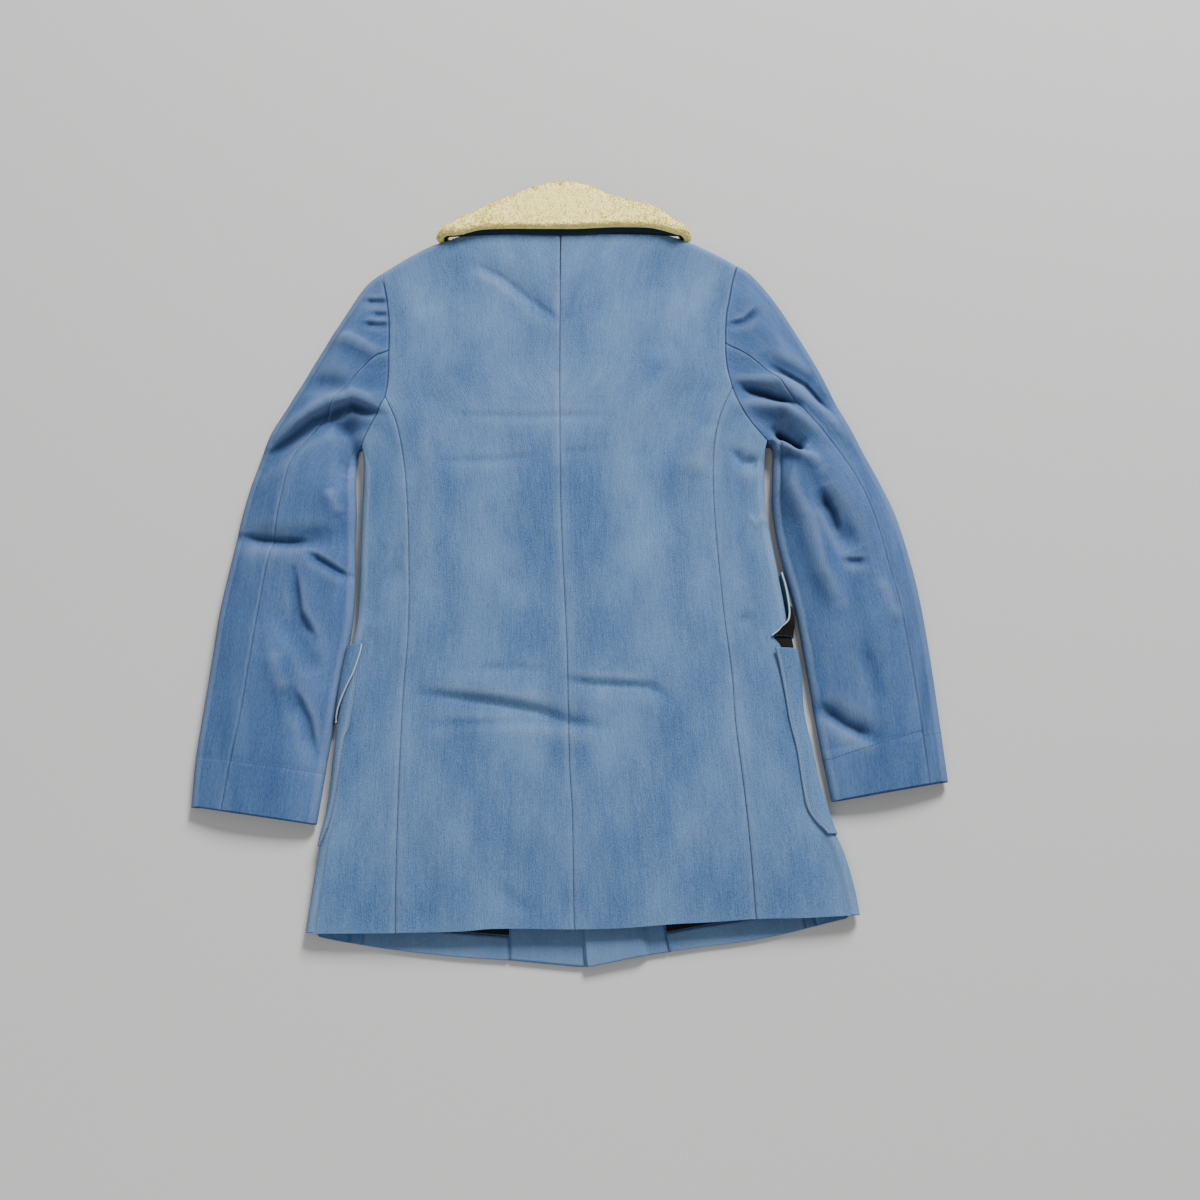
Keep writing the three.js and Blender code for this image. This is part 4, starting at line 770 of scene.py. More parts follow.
@dataclass(frozen=True)
class DenimFinish(Finish):
    """Washed denim: base is the deep colour, second the washed one, pale the crests, paler from rubbing and
    painted highlight.

    In the deepest troughs the colour is darkened towards a share of the deep colour, as painted shade.
    """

    pale: tuple[float, float, float] = (0.24, 0.313, 0.386)
    contrast: float = 1.0
    # Share of the deep colour that the painted shade in the deepest troughs reaches
    painted_shade_level: float = 0.3
    streak_share: float = 0.95
    fade_share: float = 0.55
    wash_start: float = 0.22
    relief: float = 0.00035

    def dress(self, tree: bpy.types.NodeTree, shader: bpy.types.Node) -> None:
        """Adds the weave, the slow fading, paling from rubbing on crests and seams with painted highlight on
        the crests, and painted shade in troughs and along seams.

        Args:
            tree: The material's nodes.
            shader: Its main shader.
        """
        coordinates = tree.nodes.new("ShaderNodeUVMap")
        coordinates.uv_map = "cloth"
        weave = tree.nodes.new("ShaderNodeGroup")
        weave.node_tree = weave_group()
        weave.inputs["Contrast"].default_value = self.contrast
        tree.links.new(coordinates.outputs[0], weave.inputs["Cloth"])
        wear_and_painted_light = tree.nodes.new("ShaderNodeAttribute")
        wear_and_painted_light.attribute_name = "wear_and_painted_light"
        faded = math_node(tree, "MULTIPLY", weave.outputs["Fade"], self.fade_share)
        streaked = math_node(tree, "MULTIPLY", weave.outputs["Streaks"], self.streak_share)
        share = math_node(tree, "SUBTRACT", math_node(tree, "ADD", streaked, faded), self.wash_start)
        woven = mix_colour(tree, share, self.base, self.second)
        # Paler on crests and seam edges from rubbing and painted highlight; darker below 0 as painted shade
        worn_and_painted_light = mix_colour(tree, wear_and_painted_light.outputs["Fac"], woven, self.pale)
        painted_shade_share = math_node(tree, "MULTIPLY", wear_and_painted_light.outputs["Fac"], -1)
        painted_shade = mix_colour(tree, painted_shade_share, worn_and_painted_light, tuple(self.painted_shade_level * part for part in self.base))
        tree.links.new(painted_shade, shader.inputs["Base Color"])
        shader.inputs["Roughness"].default_value = self.rough
        shader.inputs["Sheen Weight"].default_value = 0.033
        shader.inputs["Specular IOR Level"].default_value = 0.16
        bump(tree, shader, weave.outputs["Relief"], self.relief)


@dataclass(frozen=True)
class FleeceFinish(Finish):
    """Curly fleece, its tone changing slowly at random, with a knotted relief."""

    relief: float = 0.0009

    def dress(self, tree: bpy.types.NodeTree, shader: bpy.types.Node) -> None:
        """Adds the curls' tone and relief.

        Args:
            tree: The material's nodes.
            shader: Its main shader.
        """
        place = tree.nodes.new("ShaderNodeTexCoord")
        curls = tree.nodes.new("ShaderNodeGroup")
        curls.node_tree = curl_group()
        tree.links.new(place.outputs["Object"], curls.inputs["Place"])
        tone = mix_colour(tree, curls.outputs["Tone"], self.second, self.base)
        tree.links.new(tone, shader.inputs["Base Color"])
        shader.inputs["Roughness"].default_value = self.rough
        shader.inputs["Sheen Weight"].default_value = 0.1
        shader.inputs["Specular IOR Level"].default_value = 0.15
        bump(tree, shader, curls.outputs["Relief"], self.relief)


BODY_DENIM = DenimFinish("woven_denim_body", "denim_body", (0.029, 0.0745, 0.176), (0.108, 0.196, 0.343))
SLEEVE_DENIM = DenimFinish("woven_denim_sleeve", "denim_sleeve", (0.0173, 0.052, 0.144),
                           (0.073, 0.137, 0.286))
# Denim lightened as painted light, for the facing and turned-up hem inside the fronts, which lie in the
# back's shadow
INSIDE_DENIM_PAINTED_LIGHT = DenimFinish("woven_denim_inside", "denim_inside", (0.06, 0.116, 0.223), (0.113, 0.189, 0.32),
                           contrast=0.7)
# Denim darkened as painted shade, for the under collar in the shadow of the collar's fall
PAINTED_SHADE_DENIM = DenimFinish("woven_denim_painted_shade", "denim_shade", (0.0053, 0.0155, 0.0305),
                          (0.0106, 0.0246, 0.046),
                          contrast=0.6, pale=(0.04, 0.073, 0.093))
CREAM_FLEECE = FleeceFinish("cream_fleece", "fleece", (0.98, 0.86, 0.31), (0.96, 0.81, 0.25), 1.0)
DARK_LINING = Finish("dark_lining", "lining", (0.005, 0.004, 0.0037), (0, 0, 0), 0.9)
PALE_EDGE = Finish("pale_flap_edge", "denim_inside", (0.3, 0.36, 0.41), (0, 0, 0), 0.9)
BLUE_THREAD = Finish("blue_thread", "denim_body", (0.033, 0.066, 0.113), (0, 0, 0), 0.7)


class Mesher:
    """Turns grids of points into meshes in the frame."""

    @staticmethod
    def place(points: np.ndarray) -> np.ndarray:
        """Moves millimetre points into the frame, in metres."""
        shift = np.array([AIM_IN_FRAME[0], AIM_IN_FRAME[1], 0])
        return (points.reshape(-1, 3) + shift) * MM

    @staticmethod
    def arcs(grid: np.ndarray) -> tuple[np.ndarray, np.ndarray]:
        """Distances over the grid across and along it, in millimetres.

        Args:
            grid: The grid of points.

        Returns:
            Distance of each point from the first column, and from the first row.
        """
        across = np.linalg.norm(np.diff(grid, axis=1), axis=2)
        along = np.linalg.norm(np.diff(grid, axis=0), axis=2)
        u = np.concatenate([np.zeros((grid.shape[0], 1)), np.cumsum(across, axis=1)], axis=1)
        v = np.concatenate([np.zeros((1, grid.shape[1])), np.cumsum(along, axis=0)], axis=0)
        return u, v

    @classmethod
    def wall(cls, name: str, outer: np.ndarray, inner: np.ndarray, finish: Finish,
             wear_and_painted_light: np.ndarray | None = None) -> bpy.types.Object:
        """Makes a closed wall between two grids.

        Args:
            name: The piece's name.
            outer: Grid of the outer face.
            inner: Grid of the inner face.
            finish: What it is made of.
            wear_and_painted_light: Paling from rubbing and painted highlight, 0 to 1 at the outer grid's
                points, below 0 for painted shade.

        Returns:
            The piece.
        """
        rows, cols = outer.shape[:2]
        count = rows * cols
        ids = np.arange(count).reshape(rows, cols)
        a, b, c, d = ids[:-1, :-1], ids[:-1, 1:], ids[1:, 1:], ids[1:, :-1]
        front = np.stack([a, b, c, d], axis=-1).reshape(-1, 4)
        rim = np.concatenate([ids[0, :], ids[1:, -1], ids[-1, -2::-1], ids[-2:0:-1, 0]])
        after = np.roll(rim, -1)
        side = np.stack([rim, rim + count, after + count, after], axis=-1)
        faces = np.concatenate([front, front[:, ::-1] + count, side])
        points = cls.place(np.concatenate([outer.reshape(-1, 3), inner.reshape(-1, 3)]))
        p, q, r, s = (points[faces[:, i]] for i in range(4))
        volume = np.einsum("ij,ij->", p, np.cross(q, r)) + np.einsum("ij,ij->", p, np.cross(r, s))
        if volume < 0:
            faces = faces[:, ::-1]
        u, v = cls.arcs(outer)
        cloth = np.tile(np.stack([u, v], axis=-1).reshape(-1, 2) * MM, (2, 1))
        # Above 0 paler from rubbing and painted highlight, below 0 painted shade
        worn_and_painted_light = np.zeros(count) if wear_and_painted_light is None else np.clip(wear_and_painted_light, -1, 1).reshape(-1)
        return cls.mesh(name, points, faces.tolist(), finish, cloth, np.tile(worn_and_painted_light, 2))

    @staticmethod
    def mesh(name: str, points: np.ndarray, faces: Sequence[Sequence[int]], finish: Finish,
             cloth: np.ndarray | None = None, wear_and_painted_light: np.ndarray | None = None) -> bpy.types.Object:
        """Makes a piece from points and faces, riding on the coat.

        Args:
            name: The piece's name.
            points: Points in the frame, in metres.
            faces: Corner numbers of each face.
            finish: What it is made of.
            cloth: Place of each point on the flat cloth, in metres.
            wear_and_painted_light: Paling from rubbing and painted highlight of each point, below 0 for
                painted shade.

        Returns:
            The piece.
        """
        data = bpy.data.meshes.new(name)
        data.from_pydata(points.tolist(), [], faces)
        data.polygons.foreach_set("use_smooth", [True] * len(data.polygons))
        if cloth is not None:
            corners = np.empty(len(data.loops), dtype=np.int32)
            data.loops.foreach_get("vertex_index", corners)
            data.uv_layers.new(name="cloth").data.foreach_set("uv", cloth[corners].astype(np.float32).ravel())
        if wear_and_painted_light is not None:
            data.attributes.new("wear_and_painted_light", "FLOAT", "POINT").data.foreach_set("value", wear_and_painted_light.astype(np.float32))
        data.materials.append(finish.material())
        piece = bpy.data.objects.new(name, data)
        bpy.context.scene.collection.objects.link(piece)
        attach(piece, "root")
        return piece


# Distance put on points that a seam of the upper side mustn't reach
OUT_OF_REACH = 100.0


@dataclass
class SeamEdges:
    """Which borders of a grid are pressed seams; rows only where the grid faces up."""

    first_column: bool = False
    last_column: bool = False
    first_row: bool = False
    last_row: bool = False
    dip: float = 0.7
    dip_width: float = 1.1
    welt: float = 0.16
    welt_width: float = 8.0
    welt_fade: float = 3.5
    worn_at: float = 1.8
    worn_width: float = 1.6
    worn_and_painted_light: float = 0.08
    # How dark and how wide the painted shade along the seam rows is
    painted_shade: float = 0.7
    painted_shade_width: float = 1.3
    upper_height: float = 9.0
    upper_fade: float = 3.0

    def press(self, outer: np.ndarray, inner: np.ndarray) -> np.ndarray:
        """Rolls the seam borders down and raises the turned cloth beside them.

        Args:
            outer: Grid of the outer face, changed in place.
            inner: Grid of the inner face, changed in place.

        Returns:
            Paling from rubbing beside the seams, and painted shade below 0 along the seam rows, at the outer
            grid's points.
        """
        u, v = Mesher.arcs(outer)
        columns, rows = [], []
        if self.first_column:
            columns.append(u)
        if self.last_column:
            columns.append(u[:, -1:] - u)
        underneath = OUT_OF_REACH * (1 - ease((outer[..., 2] - self.upper_height) / self.upper_fade))
        if self.first_row:
            rows.append(v + underneath)
        if self.last_row:
            rows.append(v[-1:, :] - v + underneath)
        wear_and_painted_light = np.zeros(outer.shape[:2])
        for distance in columns + rows:
            pucker = 1 + 0.35 * np.sin(v / 3.3 + 2 * np.sin(v / 23)) + 0.2 * np.sin(u / 4.1)
            dip = -self.dip * np.exp(-((distance / self.dip_width)**2))
            welt = self.welt * pucker * (1 - ease((distance - self.welt_width) / self.welt_fade))
            outer[..., 2] += dip + welt
            inner[..., 2] += dip + welt
            edge = np.exp(-(((distance - self.worn_at) / self.worn_width)**2)) * (0.5 + 0.5 * pucker)
            wear_and_painted_light += self.worn_and_painted_light * edge
        # Painted shade: the cloth is darkened along the armhole seam's row on top
        if rows:
            wear_and_painted_light -= self.painted_shade * np.exp(-((rows[-1] / self.painted_shade_width)**2))
        return wear_and_painted_light


# Smoothing passes behind the crests, tone per millimetre of height over the surroundings (crests paler from
# rubbing and painted highlight, troughs darker as painted shade) and the most paling on crests
CREST_PASSES = 14
RELIEF_TONE = 0.22
MOST_CREST_PALING = 0.16


def crest_wear(grid: np.ndarray, painted_shade_depth: float = 0.0) -> np.ndarray:
    """Crests paler from rubbing and painted highlight, and troughs darker as painted shade, from how far each
    point stands over or sinks under its surroundings.

    Args:
        grid: Grid of the outer face, in millimetres.
        painted_shade_depth: Greatest depth of the painted shade in the troughs.

    Returns:
        The paling, below 0 for painted shade.
    """
    z = grid[..., 2]
    smooth = z.copy()
    for _ in range(CREST_PASSES):
        padded = np.pad(smooth, 1, mode="edge")
        smooth = (padded[2:, 1:-1] + padded[:-2, 1:-1] + padded[1:-1, 2:] + padded[1:-1, :-2]) / 4
    return np.clip((z - smooth) * RELIEF_TONE, -painted_shade_depth, MOST_CREST_PALING)


# Least area of a cut, as a share of its width times its length
LEAST_AREA = 0.31


def declare(piece: bpy.types.Object, grid: np.ndarray, rests_on: Sequence[str]) -> None:
    """Logs a laid sheet's cut, measured over the cloth.

    Args:
        piece: The cloth.
        grid: Grid of its outer face, in millimetres.
        rests_on: Names of what it lies on; not used.
    """
    u, v = Mesher.arcs(grid)
    width, length = float(u[:, -1].max()) * MM, float(v[-1, :].max()) * MM
    a = grid[:-1, :-1]
    cross = np.cross(grid[:-1, 1:] - a, grid[1:, :-1] - a)
    area = float(np.linalg.norm(cross, axis=2).sum()) * MM * MM
    area = min(max(area, LEAST_AREA * width * length), width * length)
    LOG.info("%s: cut %.3f by %.3f m, %.4f square metres", piece.name, width, length, area)


@dataclass
class PanelPlan:
    """How a back or front is laid out."""

    top: Rows
    hem: Rows
    hem_y: float
    inner: Rows
    cover: Cover
    arm_step: int


@dataclass(frozen=True)
class BodyPanels:
    """The back, side and front of one side of the coat, with what shows inside its hem."""

    pattern: Pattern
    form: CoatForm
    seam_inset: float = 42.0
    lap_slack: float = 2.0
    lap_reach: float = 20.0
    lap_fade: float = 12.0
    back_cut: tuple[float, float] = (810.0, 215.0)
    front_cut: tuple[float, float] = (800.0, 260.0)
    side_cut: tuple[float, float] = (585.0, 78.0)
    top_bend: float = 0.45
    centre_bend: float = 0.9
    hem_hold: int = 14
    side_hem_hold: int = 12
    armhole_hold: int = 8
    shoulder_steps: int = 8

    @property
    def word(self) -> str:
        """The side's name."""
        return self.pattern.side.word

    def build(self) -> list[bpy.types.Object]:
        """Builds the front, the pieces inside its hem, the side and the back."""
        return [self.build_front(), *self.build_inside(), self.build_side(), self.build_back()]

    def low_seam(self, row: np.ndarray) -> tuple[np.ndarray, np.ndarray]:
        """Side-back seam at rows from the hem (0) to its top (1)."""
        y = mix(self.pattern.seam[0][0], self.pattern.seam[-1][0], row)
        return Curve.of(self.pattern.seam, 0, 1).at(y), y

    def front_seam(self, row: np.ndarray) -> tuple[np.ndarray, np.ndarray]:
        """Side-front seam, underneath, at rows from the hem (0) to its top (1).

        Args:
            row: The rows.

        Returns:
            Plan X and Y of the seam.
        """
        edge, tip = self.pattern.edge, self.pattern.arm_low[-1]
        y = mix(edge[0][0], edge[-1][0], row)
        lift = ease((row - 0.8) / 0.2)
        x = Curve.of(edge, 0, 1).at(y) - self.pattern.side.value * self.seam_inset
        return mix(x, tip[0], lift), mix(y, tip[1], lift)

    def border_at(self, plan: PanelPlan, rows: np.ndarray) -> tuple[np.ndarray, np.ndarray]:
        """Outer border of a back or front: the seam's rows, then the armhole's.

        Args:
            plan: The panel's layout.
            rows: Row numbers, with fractions.

        Returns:
            Plan X and Y of the border.
        """
        seam = self.low_seam if plan.cover is Cover.UP else self.front_seam
        low_x, low_y = seam(np.interp(rows, np.arange(len(LOW_ROWS)), LOW_ROWS))
        arm = self.pattern.arm_high[::plan.arm_step]
        above = rows - (len(LOW_ROWS) - 1)
        upper_x, upper_y = Curve.along(arm, 0).at(above), Curve.along(arm, 1).at(above)
        return np.where(above > 0, upper_x, low_x), np.where(above > 0, upper_y, low_y)

    def last_row(self, plan: PanelPlan) -> int:
        """Number of the border's last row, at the shoulder."""
        return len(LOW_ROWS) - 1 + (len(self.pattern.arm_high) - 1) // plan.arm_step

    def level(self, plan: PanelPlan, x: np.ndarray, y: np.ndarray) -> np.ndarray:
        """Outer height of a back or front at plan points.

        Args:
            plan: The panel's layout.
            x: Plan X of the points.
            y: Plan Y of the points.

        Returns:
            The heights.
        """
        if plan.cover is Cover.UP:
            return self.form.top(x, y)
        flat = self.form.bottom(x, y)
        if self.pattern.side is Side.LEFT:
            return flat
        lap = DENIM + FACING + 2 * LAYER_GAP + self.lap_slack * self.form.collar_rise(x, y)
        return flat + lap * ease((Curve.of(CLOSING_LEFT, 0, 1).at(y) + self.lap_reach - x) / self.lap_fade)

    def way(self, plan: PanelPlan, s: np.ndarray) -> tuple[np.ndarray, np.ndarray]:
        """Direction out over the top edge at shares of it.

        Args:
            plan: The panel's layout.
            s: The shares.

        Returns:
            X and Y of the direction, at length 1.
        """
        cx, cy = Curve.of(plan.top, 0, 1), Curve.of(plan.top, 0, 2)
        dx, dy = cx.at(s + 0.02) - cx.at(s - 0.02), cy.at(s + 0.02) - cy.at(s - 0.02)
        nx, ny = unit(-np.sign(dx) * dy, np.abs(dx))
        t = ease(s / 0.15)
        return unit(mix(self.pattern.shoulder_way[0], nx, t), mix(self.pattern.shoulder_way[1], ny, t))

    def panel(self, plan: PanelPlan, rows: np.ndarray, s: np.ndarray, out: float,
              shoulder: bool = True) -> np.ndarray:
        """Grid of a back or front.

        Args:
            plan: Its layout.
            rows: Row numbers of the border, with fractions.
            s: Shares across, from the outer border to the centre.
            out: Distance off the outer face.
            shoulder: Whether the rounded top edge is added.

        Returns:
            The grid.
        """
        last = self.pattern.arm_high[-1]
        first_y = float(self.border_at(plan, np.array(0.0))[1])
        bx, by = (v[:, None] for v in self.border_at(plan, rows))
        way_x, way_y = self.way(plan, s)
        base_x = Curve.of(plan.top, 0, 1).at(s) - way_x * SHOULDER_ROUND
        base_y = Curve.of(plan.top, 0, 2).at(s) - way_y * SHOULDER_ROUND
        end_way = self.way(plan, np.array([1.0]))
        end_x = plan.top[-1][1] - float(end_way[0][0]) * SHOULDER_ROUND
        end_y = plan.top[-1][2] - float(end_way[1][0]) * SHOULDER_ROUND
        f = (by - first_y) / (last[1] - first_y)
        inner_y = mix(plan.hem_y, end_y, f)
        centre_x = Curve.of(plan.inner, 0, 1).at(inner_y)
        inner_x = mix(centre_x, end_x, ease((f - self.centre_bend) / (1 - self.centre_bend)))
        bend = ease((f - self.top_bend) / (1 - self.top_bend))
        x = mix(bx, inner_x, s) + (base_x - mix(last[0], end_x, s)) * bend
        plain = mix(by, inner_y, s) + (base_y - mix(last[1], end_y, s)) * bend
        y = plain + (Curve.of(plan.hem, 0, 1).at(x) - plain) * np.clip(1 - f, 0, 1)**self.hem_hold
        grid = stack(x, y, self.level(plan, x, y) + plan.cover.value * out)
        if not shoulder:
            return grid
        rounds = np.clip(Curve.of(plan.top, 0, 3).at(s), 0, 1)
        top, bottom = self.form.top(base_x, base_y), self.form.bottom(base_x, base_y)
        over = []
        for step in np.linspace(0.12, 1, self.shoulder_steps):
            angle = step * math.pi / 2
            forward = mix(SHOULDER_ROUND * step, (SHOULDER_ROUND + out * rounds) * math.sin(angle), rounds)
            apart = plan.cover.value * (SEAM_GAP / 2) * math.sin(angle)
            half = (top - bottom) / 2 + out
            curved = (top + bottom) / 2 + plan.cover.value * half * math.cos(angle) + apart
            flat = self.level(plan, base_x, base_y) + plan.cover.value * out
            over.append(stack(base_x + way_x * forward, base_y + way_y * forward, mix(flat, curved, rounds)))
        return np.concatenate([grid, np.stack(over)])

    def back_plan(self) -> PanelPlan:
        """Layout of this side's back."""
        return PanelPlan(self.pattern.back_top, HEM_BACK, -345, CENTRE_BACK, Cover.UP, 1)

    def front_plan(self) -> PanelPlan:
        """Layout of this side's front."""
        closing = self.pattern.closing
        return PanelPlan(self.pattern.front_top, HEM_FRONT, closing[0][0], closing, Cover.DOWN, 2)

    def build_back(self) -> bpy.types.Object:
        """Builds the back with its two seams and the armhole.

        Returns:
            The piece.
        """
        plan = self.back_plan()
        length, width = self.back_cut
        rows = spread(length, FINE, False) * self.last_row(plan)
        gap = SEAM_GAP / 2 / width
        s = mix(gap, 1 - gap, spread(width, FINE))
        outer, inner = self.panel(plan, rows, s, 0), self.panel(plan, rows, s, -DENIM)
        # Rubbing beside the seams, and crests paler from rubbing and painted highlight
        wear_and_painted_light = SeamEdges(first_column=True, last_column=True).press(outer, inner) + crest_wear(outer)
        piece = Mesher.wall(f"cloth_back_{self.word}", outer, inner, BODY_DENIM, wear_and_painted_light)
        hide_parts(f"back_{self.word}")
        declare(piece, outer, [f"cloth_front_{self.word}"])
        return piece

    def build_front(self) -> bpy.types.Object:
        """Builds the front, flat underneath.

        Returns:
            The piece.
        """
        plan = self.front_plan()
        length, width = self.front_cut
        rows = spread(length, PLAIN, False) * self.last_row(plan)
        s = mix(0.001, 1, spread(width, PLAIN, False))
        outer, inner = self.panel(plan, rows, s, 0), self.panel(plan, rows, s, -DENIM)
        piece = Mesher.wall(f"cloth_front_{self.word}", outer, inner, BODY_DENIM)
        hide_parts(f"front_{self.word}")
        declare(piece, outer, ["floor"])
        return piece

    def side_plan(self, ends: tuple, top_ends: tuple, t: np.ndarray, arm: tuple, hem: Rows,
                  row: np.ndarray) -> tuple[np.ndarray, np.ndarray]:
        """Plan points between two borders, bent to the armhole above and the hem line below.

        Args:
            ends: Both borders' X and Y.
            top_ends: The same at the top row.
            t: Shares of the way between the borders.
            arm: X and Y of the armhole at those shares.
            hem: The hem line.
            row: Rows, from 0 at the hem to 1.

        Returns:
            X and Y of the points.
        """
        plain = [mix(ends[0][i], ends[1][i], t) for i in (0, 1)]
        top = [mix(top_ends[0][i], top_ends[1][i], t) for i in (0, 1)]
        x, y = (plain[i] + (arm[i] - top[i]) * row**self.armhole_hold for i in (0, 1))
        return x, y + (Curve.of(hem, 0, 1).at(x) - plain[1]) * (1 - row)**self.side_hem_hold

    def side_grid(self, out: float) -> np.ndarray:
        """Grid of the side panel, from the side-back seam over the edge to underneath.

        Args:
            out: Distance off the outer face.

        Returns:
            The grid.
        """
        pattern, form = self.pattern, self.form
        length, width = self.side_cut
        row, one = spread(length, FINE)[:, None], np.array([[1.0]])
        low, reach = pattern.arm_low, len(pattern.arm_low) - 1

        def over(at: np.ndarray, wrap: float) -> tuple[np.ndarray, np.ndarray]:
            """Plan point of the rounded edge's upper or lower limit."""
            point = form.wrap(pattern, mix(pattern.edge[0][0], pattern.edge[-1][0], at), wrap, 0)
            return point[..., 0], point[..., 1]

        t = mix(0.0025, 1, spread(width, FINE))[:-1]
        arm = (Curve.along(low, 0).at(reach * (1 - t)), Curve.along(low, 1).at(reach * (1 - t)))
        ends, tops = (self.low_seam(row), over(row, QUARTER)), (self.low_seam(one), over(one, QUARTER))
        x, y = self.side_plan(ends, tops, t, arm, HEM_BACK, row)
        top = stack(x, y, form.top(x, y) + out)
        y = mix(pattern.edge[0][0], pattern.edge[-1][0], row)
        arc = form.wrap(pattern, y, QUARTER * np.linspace(1, -1, ARC_POINTS), out)
        t = np.linspace(0.12, 0.995, 8)
        few = low[::2]
        arm = (Curve.along(few, 0).at(2 * t), Curve.along(few, 1).at(2 * t))
        ends, tops = (over(row, -QUARTER), self.front_seam(row)), (over(one, -QUARTER), self.front_seam(one))
        x, y = self.side_plan(ends, tops, t, arm, HEM_FRONT, row)
        return np.concatenate([top, arc, stack(x, y, form.bottom(x, y) - out)], axis=1)

    def build_side(self) -> bpy.types.Object:
        """Builds the side panel.

        Returns:
            The piece.
        """
        outer, inner = self.side_grid(0), self.side_grid(-DENIM)
        # Rubbing beside the seams with painted shade along the armhole seam's row, and crests paler from
        # rubbing and painted highlight
        wear_and_painted_light = SeamEdges(first_column=True, last_row=True).press(outer, inner) + crest_wear(outer)
        piece = Mesher.wall(f"cloth_side_{self.word}", outer, inner, BODY_DENIM, wear_and_painted_light)
        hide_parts(f"side_{self.word}")
        declare(piece, outer, ["floor"])
        return piece

    def build_inside(self) -> list[bpy.types.Object]:
        """Builds the facing, the turned-up hem and the lining above it.

        Returns:
            The three pieces.
        """
        plan = self.front_plan()
        start = 0.574 if self.pattern.side is Side.LEFT else 0.646
        # The facing and turn-up take the denim lightened as painted light
        strips = (
            ("facing", INSIDE_DENIM_PAINTED_LIGHT, (0.03, 4), (start, 0.992), FACING),
            ("turn_up", INSIDE_DENIM_PAINTED_LIGHT, (0.03, 1.35), (0.05, start - 0.008), FACING),
            ("lining", DARK_LINING, (1.41, 4), (0.05, start - 0.008), LINING),
        )
        made = []
        for name, finish, (low, high), (s0, s1), cloth in strips:
            rows, s = np.linspace(low, high, 14), np.linspace(s0, s1, 40)
            under = self.panel(plan, rows, s, -DENIM - LAYER_GAP, False)
            over = self.panel(plan, rows, s, -DENIM - LAYER_GAP - cloth, False)
            piece = Mesher.wall(f"cloth_{name}_{self.word}", over, under, finish)
            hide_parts(f"{name}_{self.word}")
            declare(piece, over, [f"cloth_front_{self.word}"])
            made.append(piece)
        return made


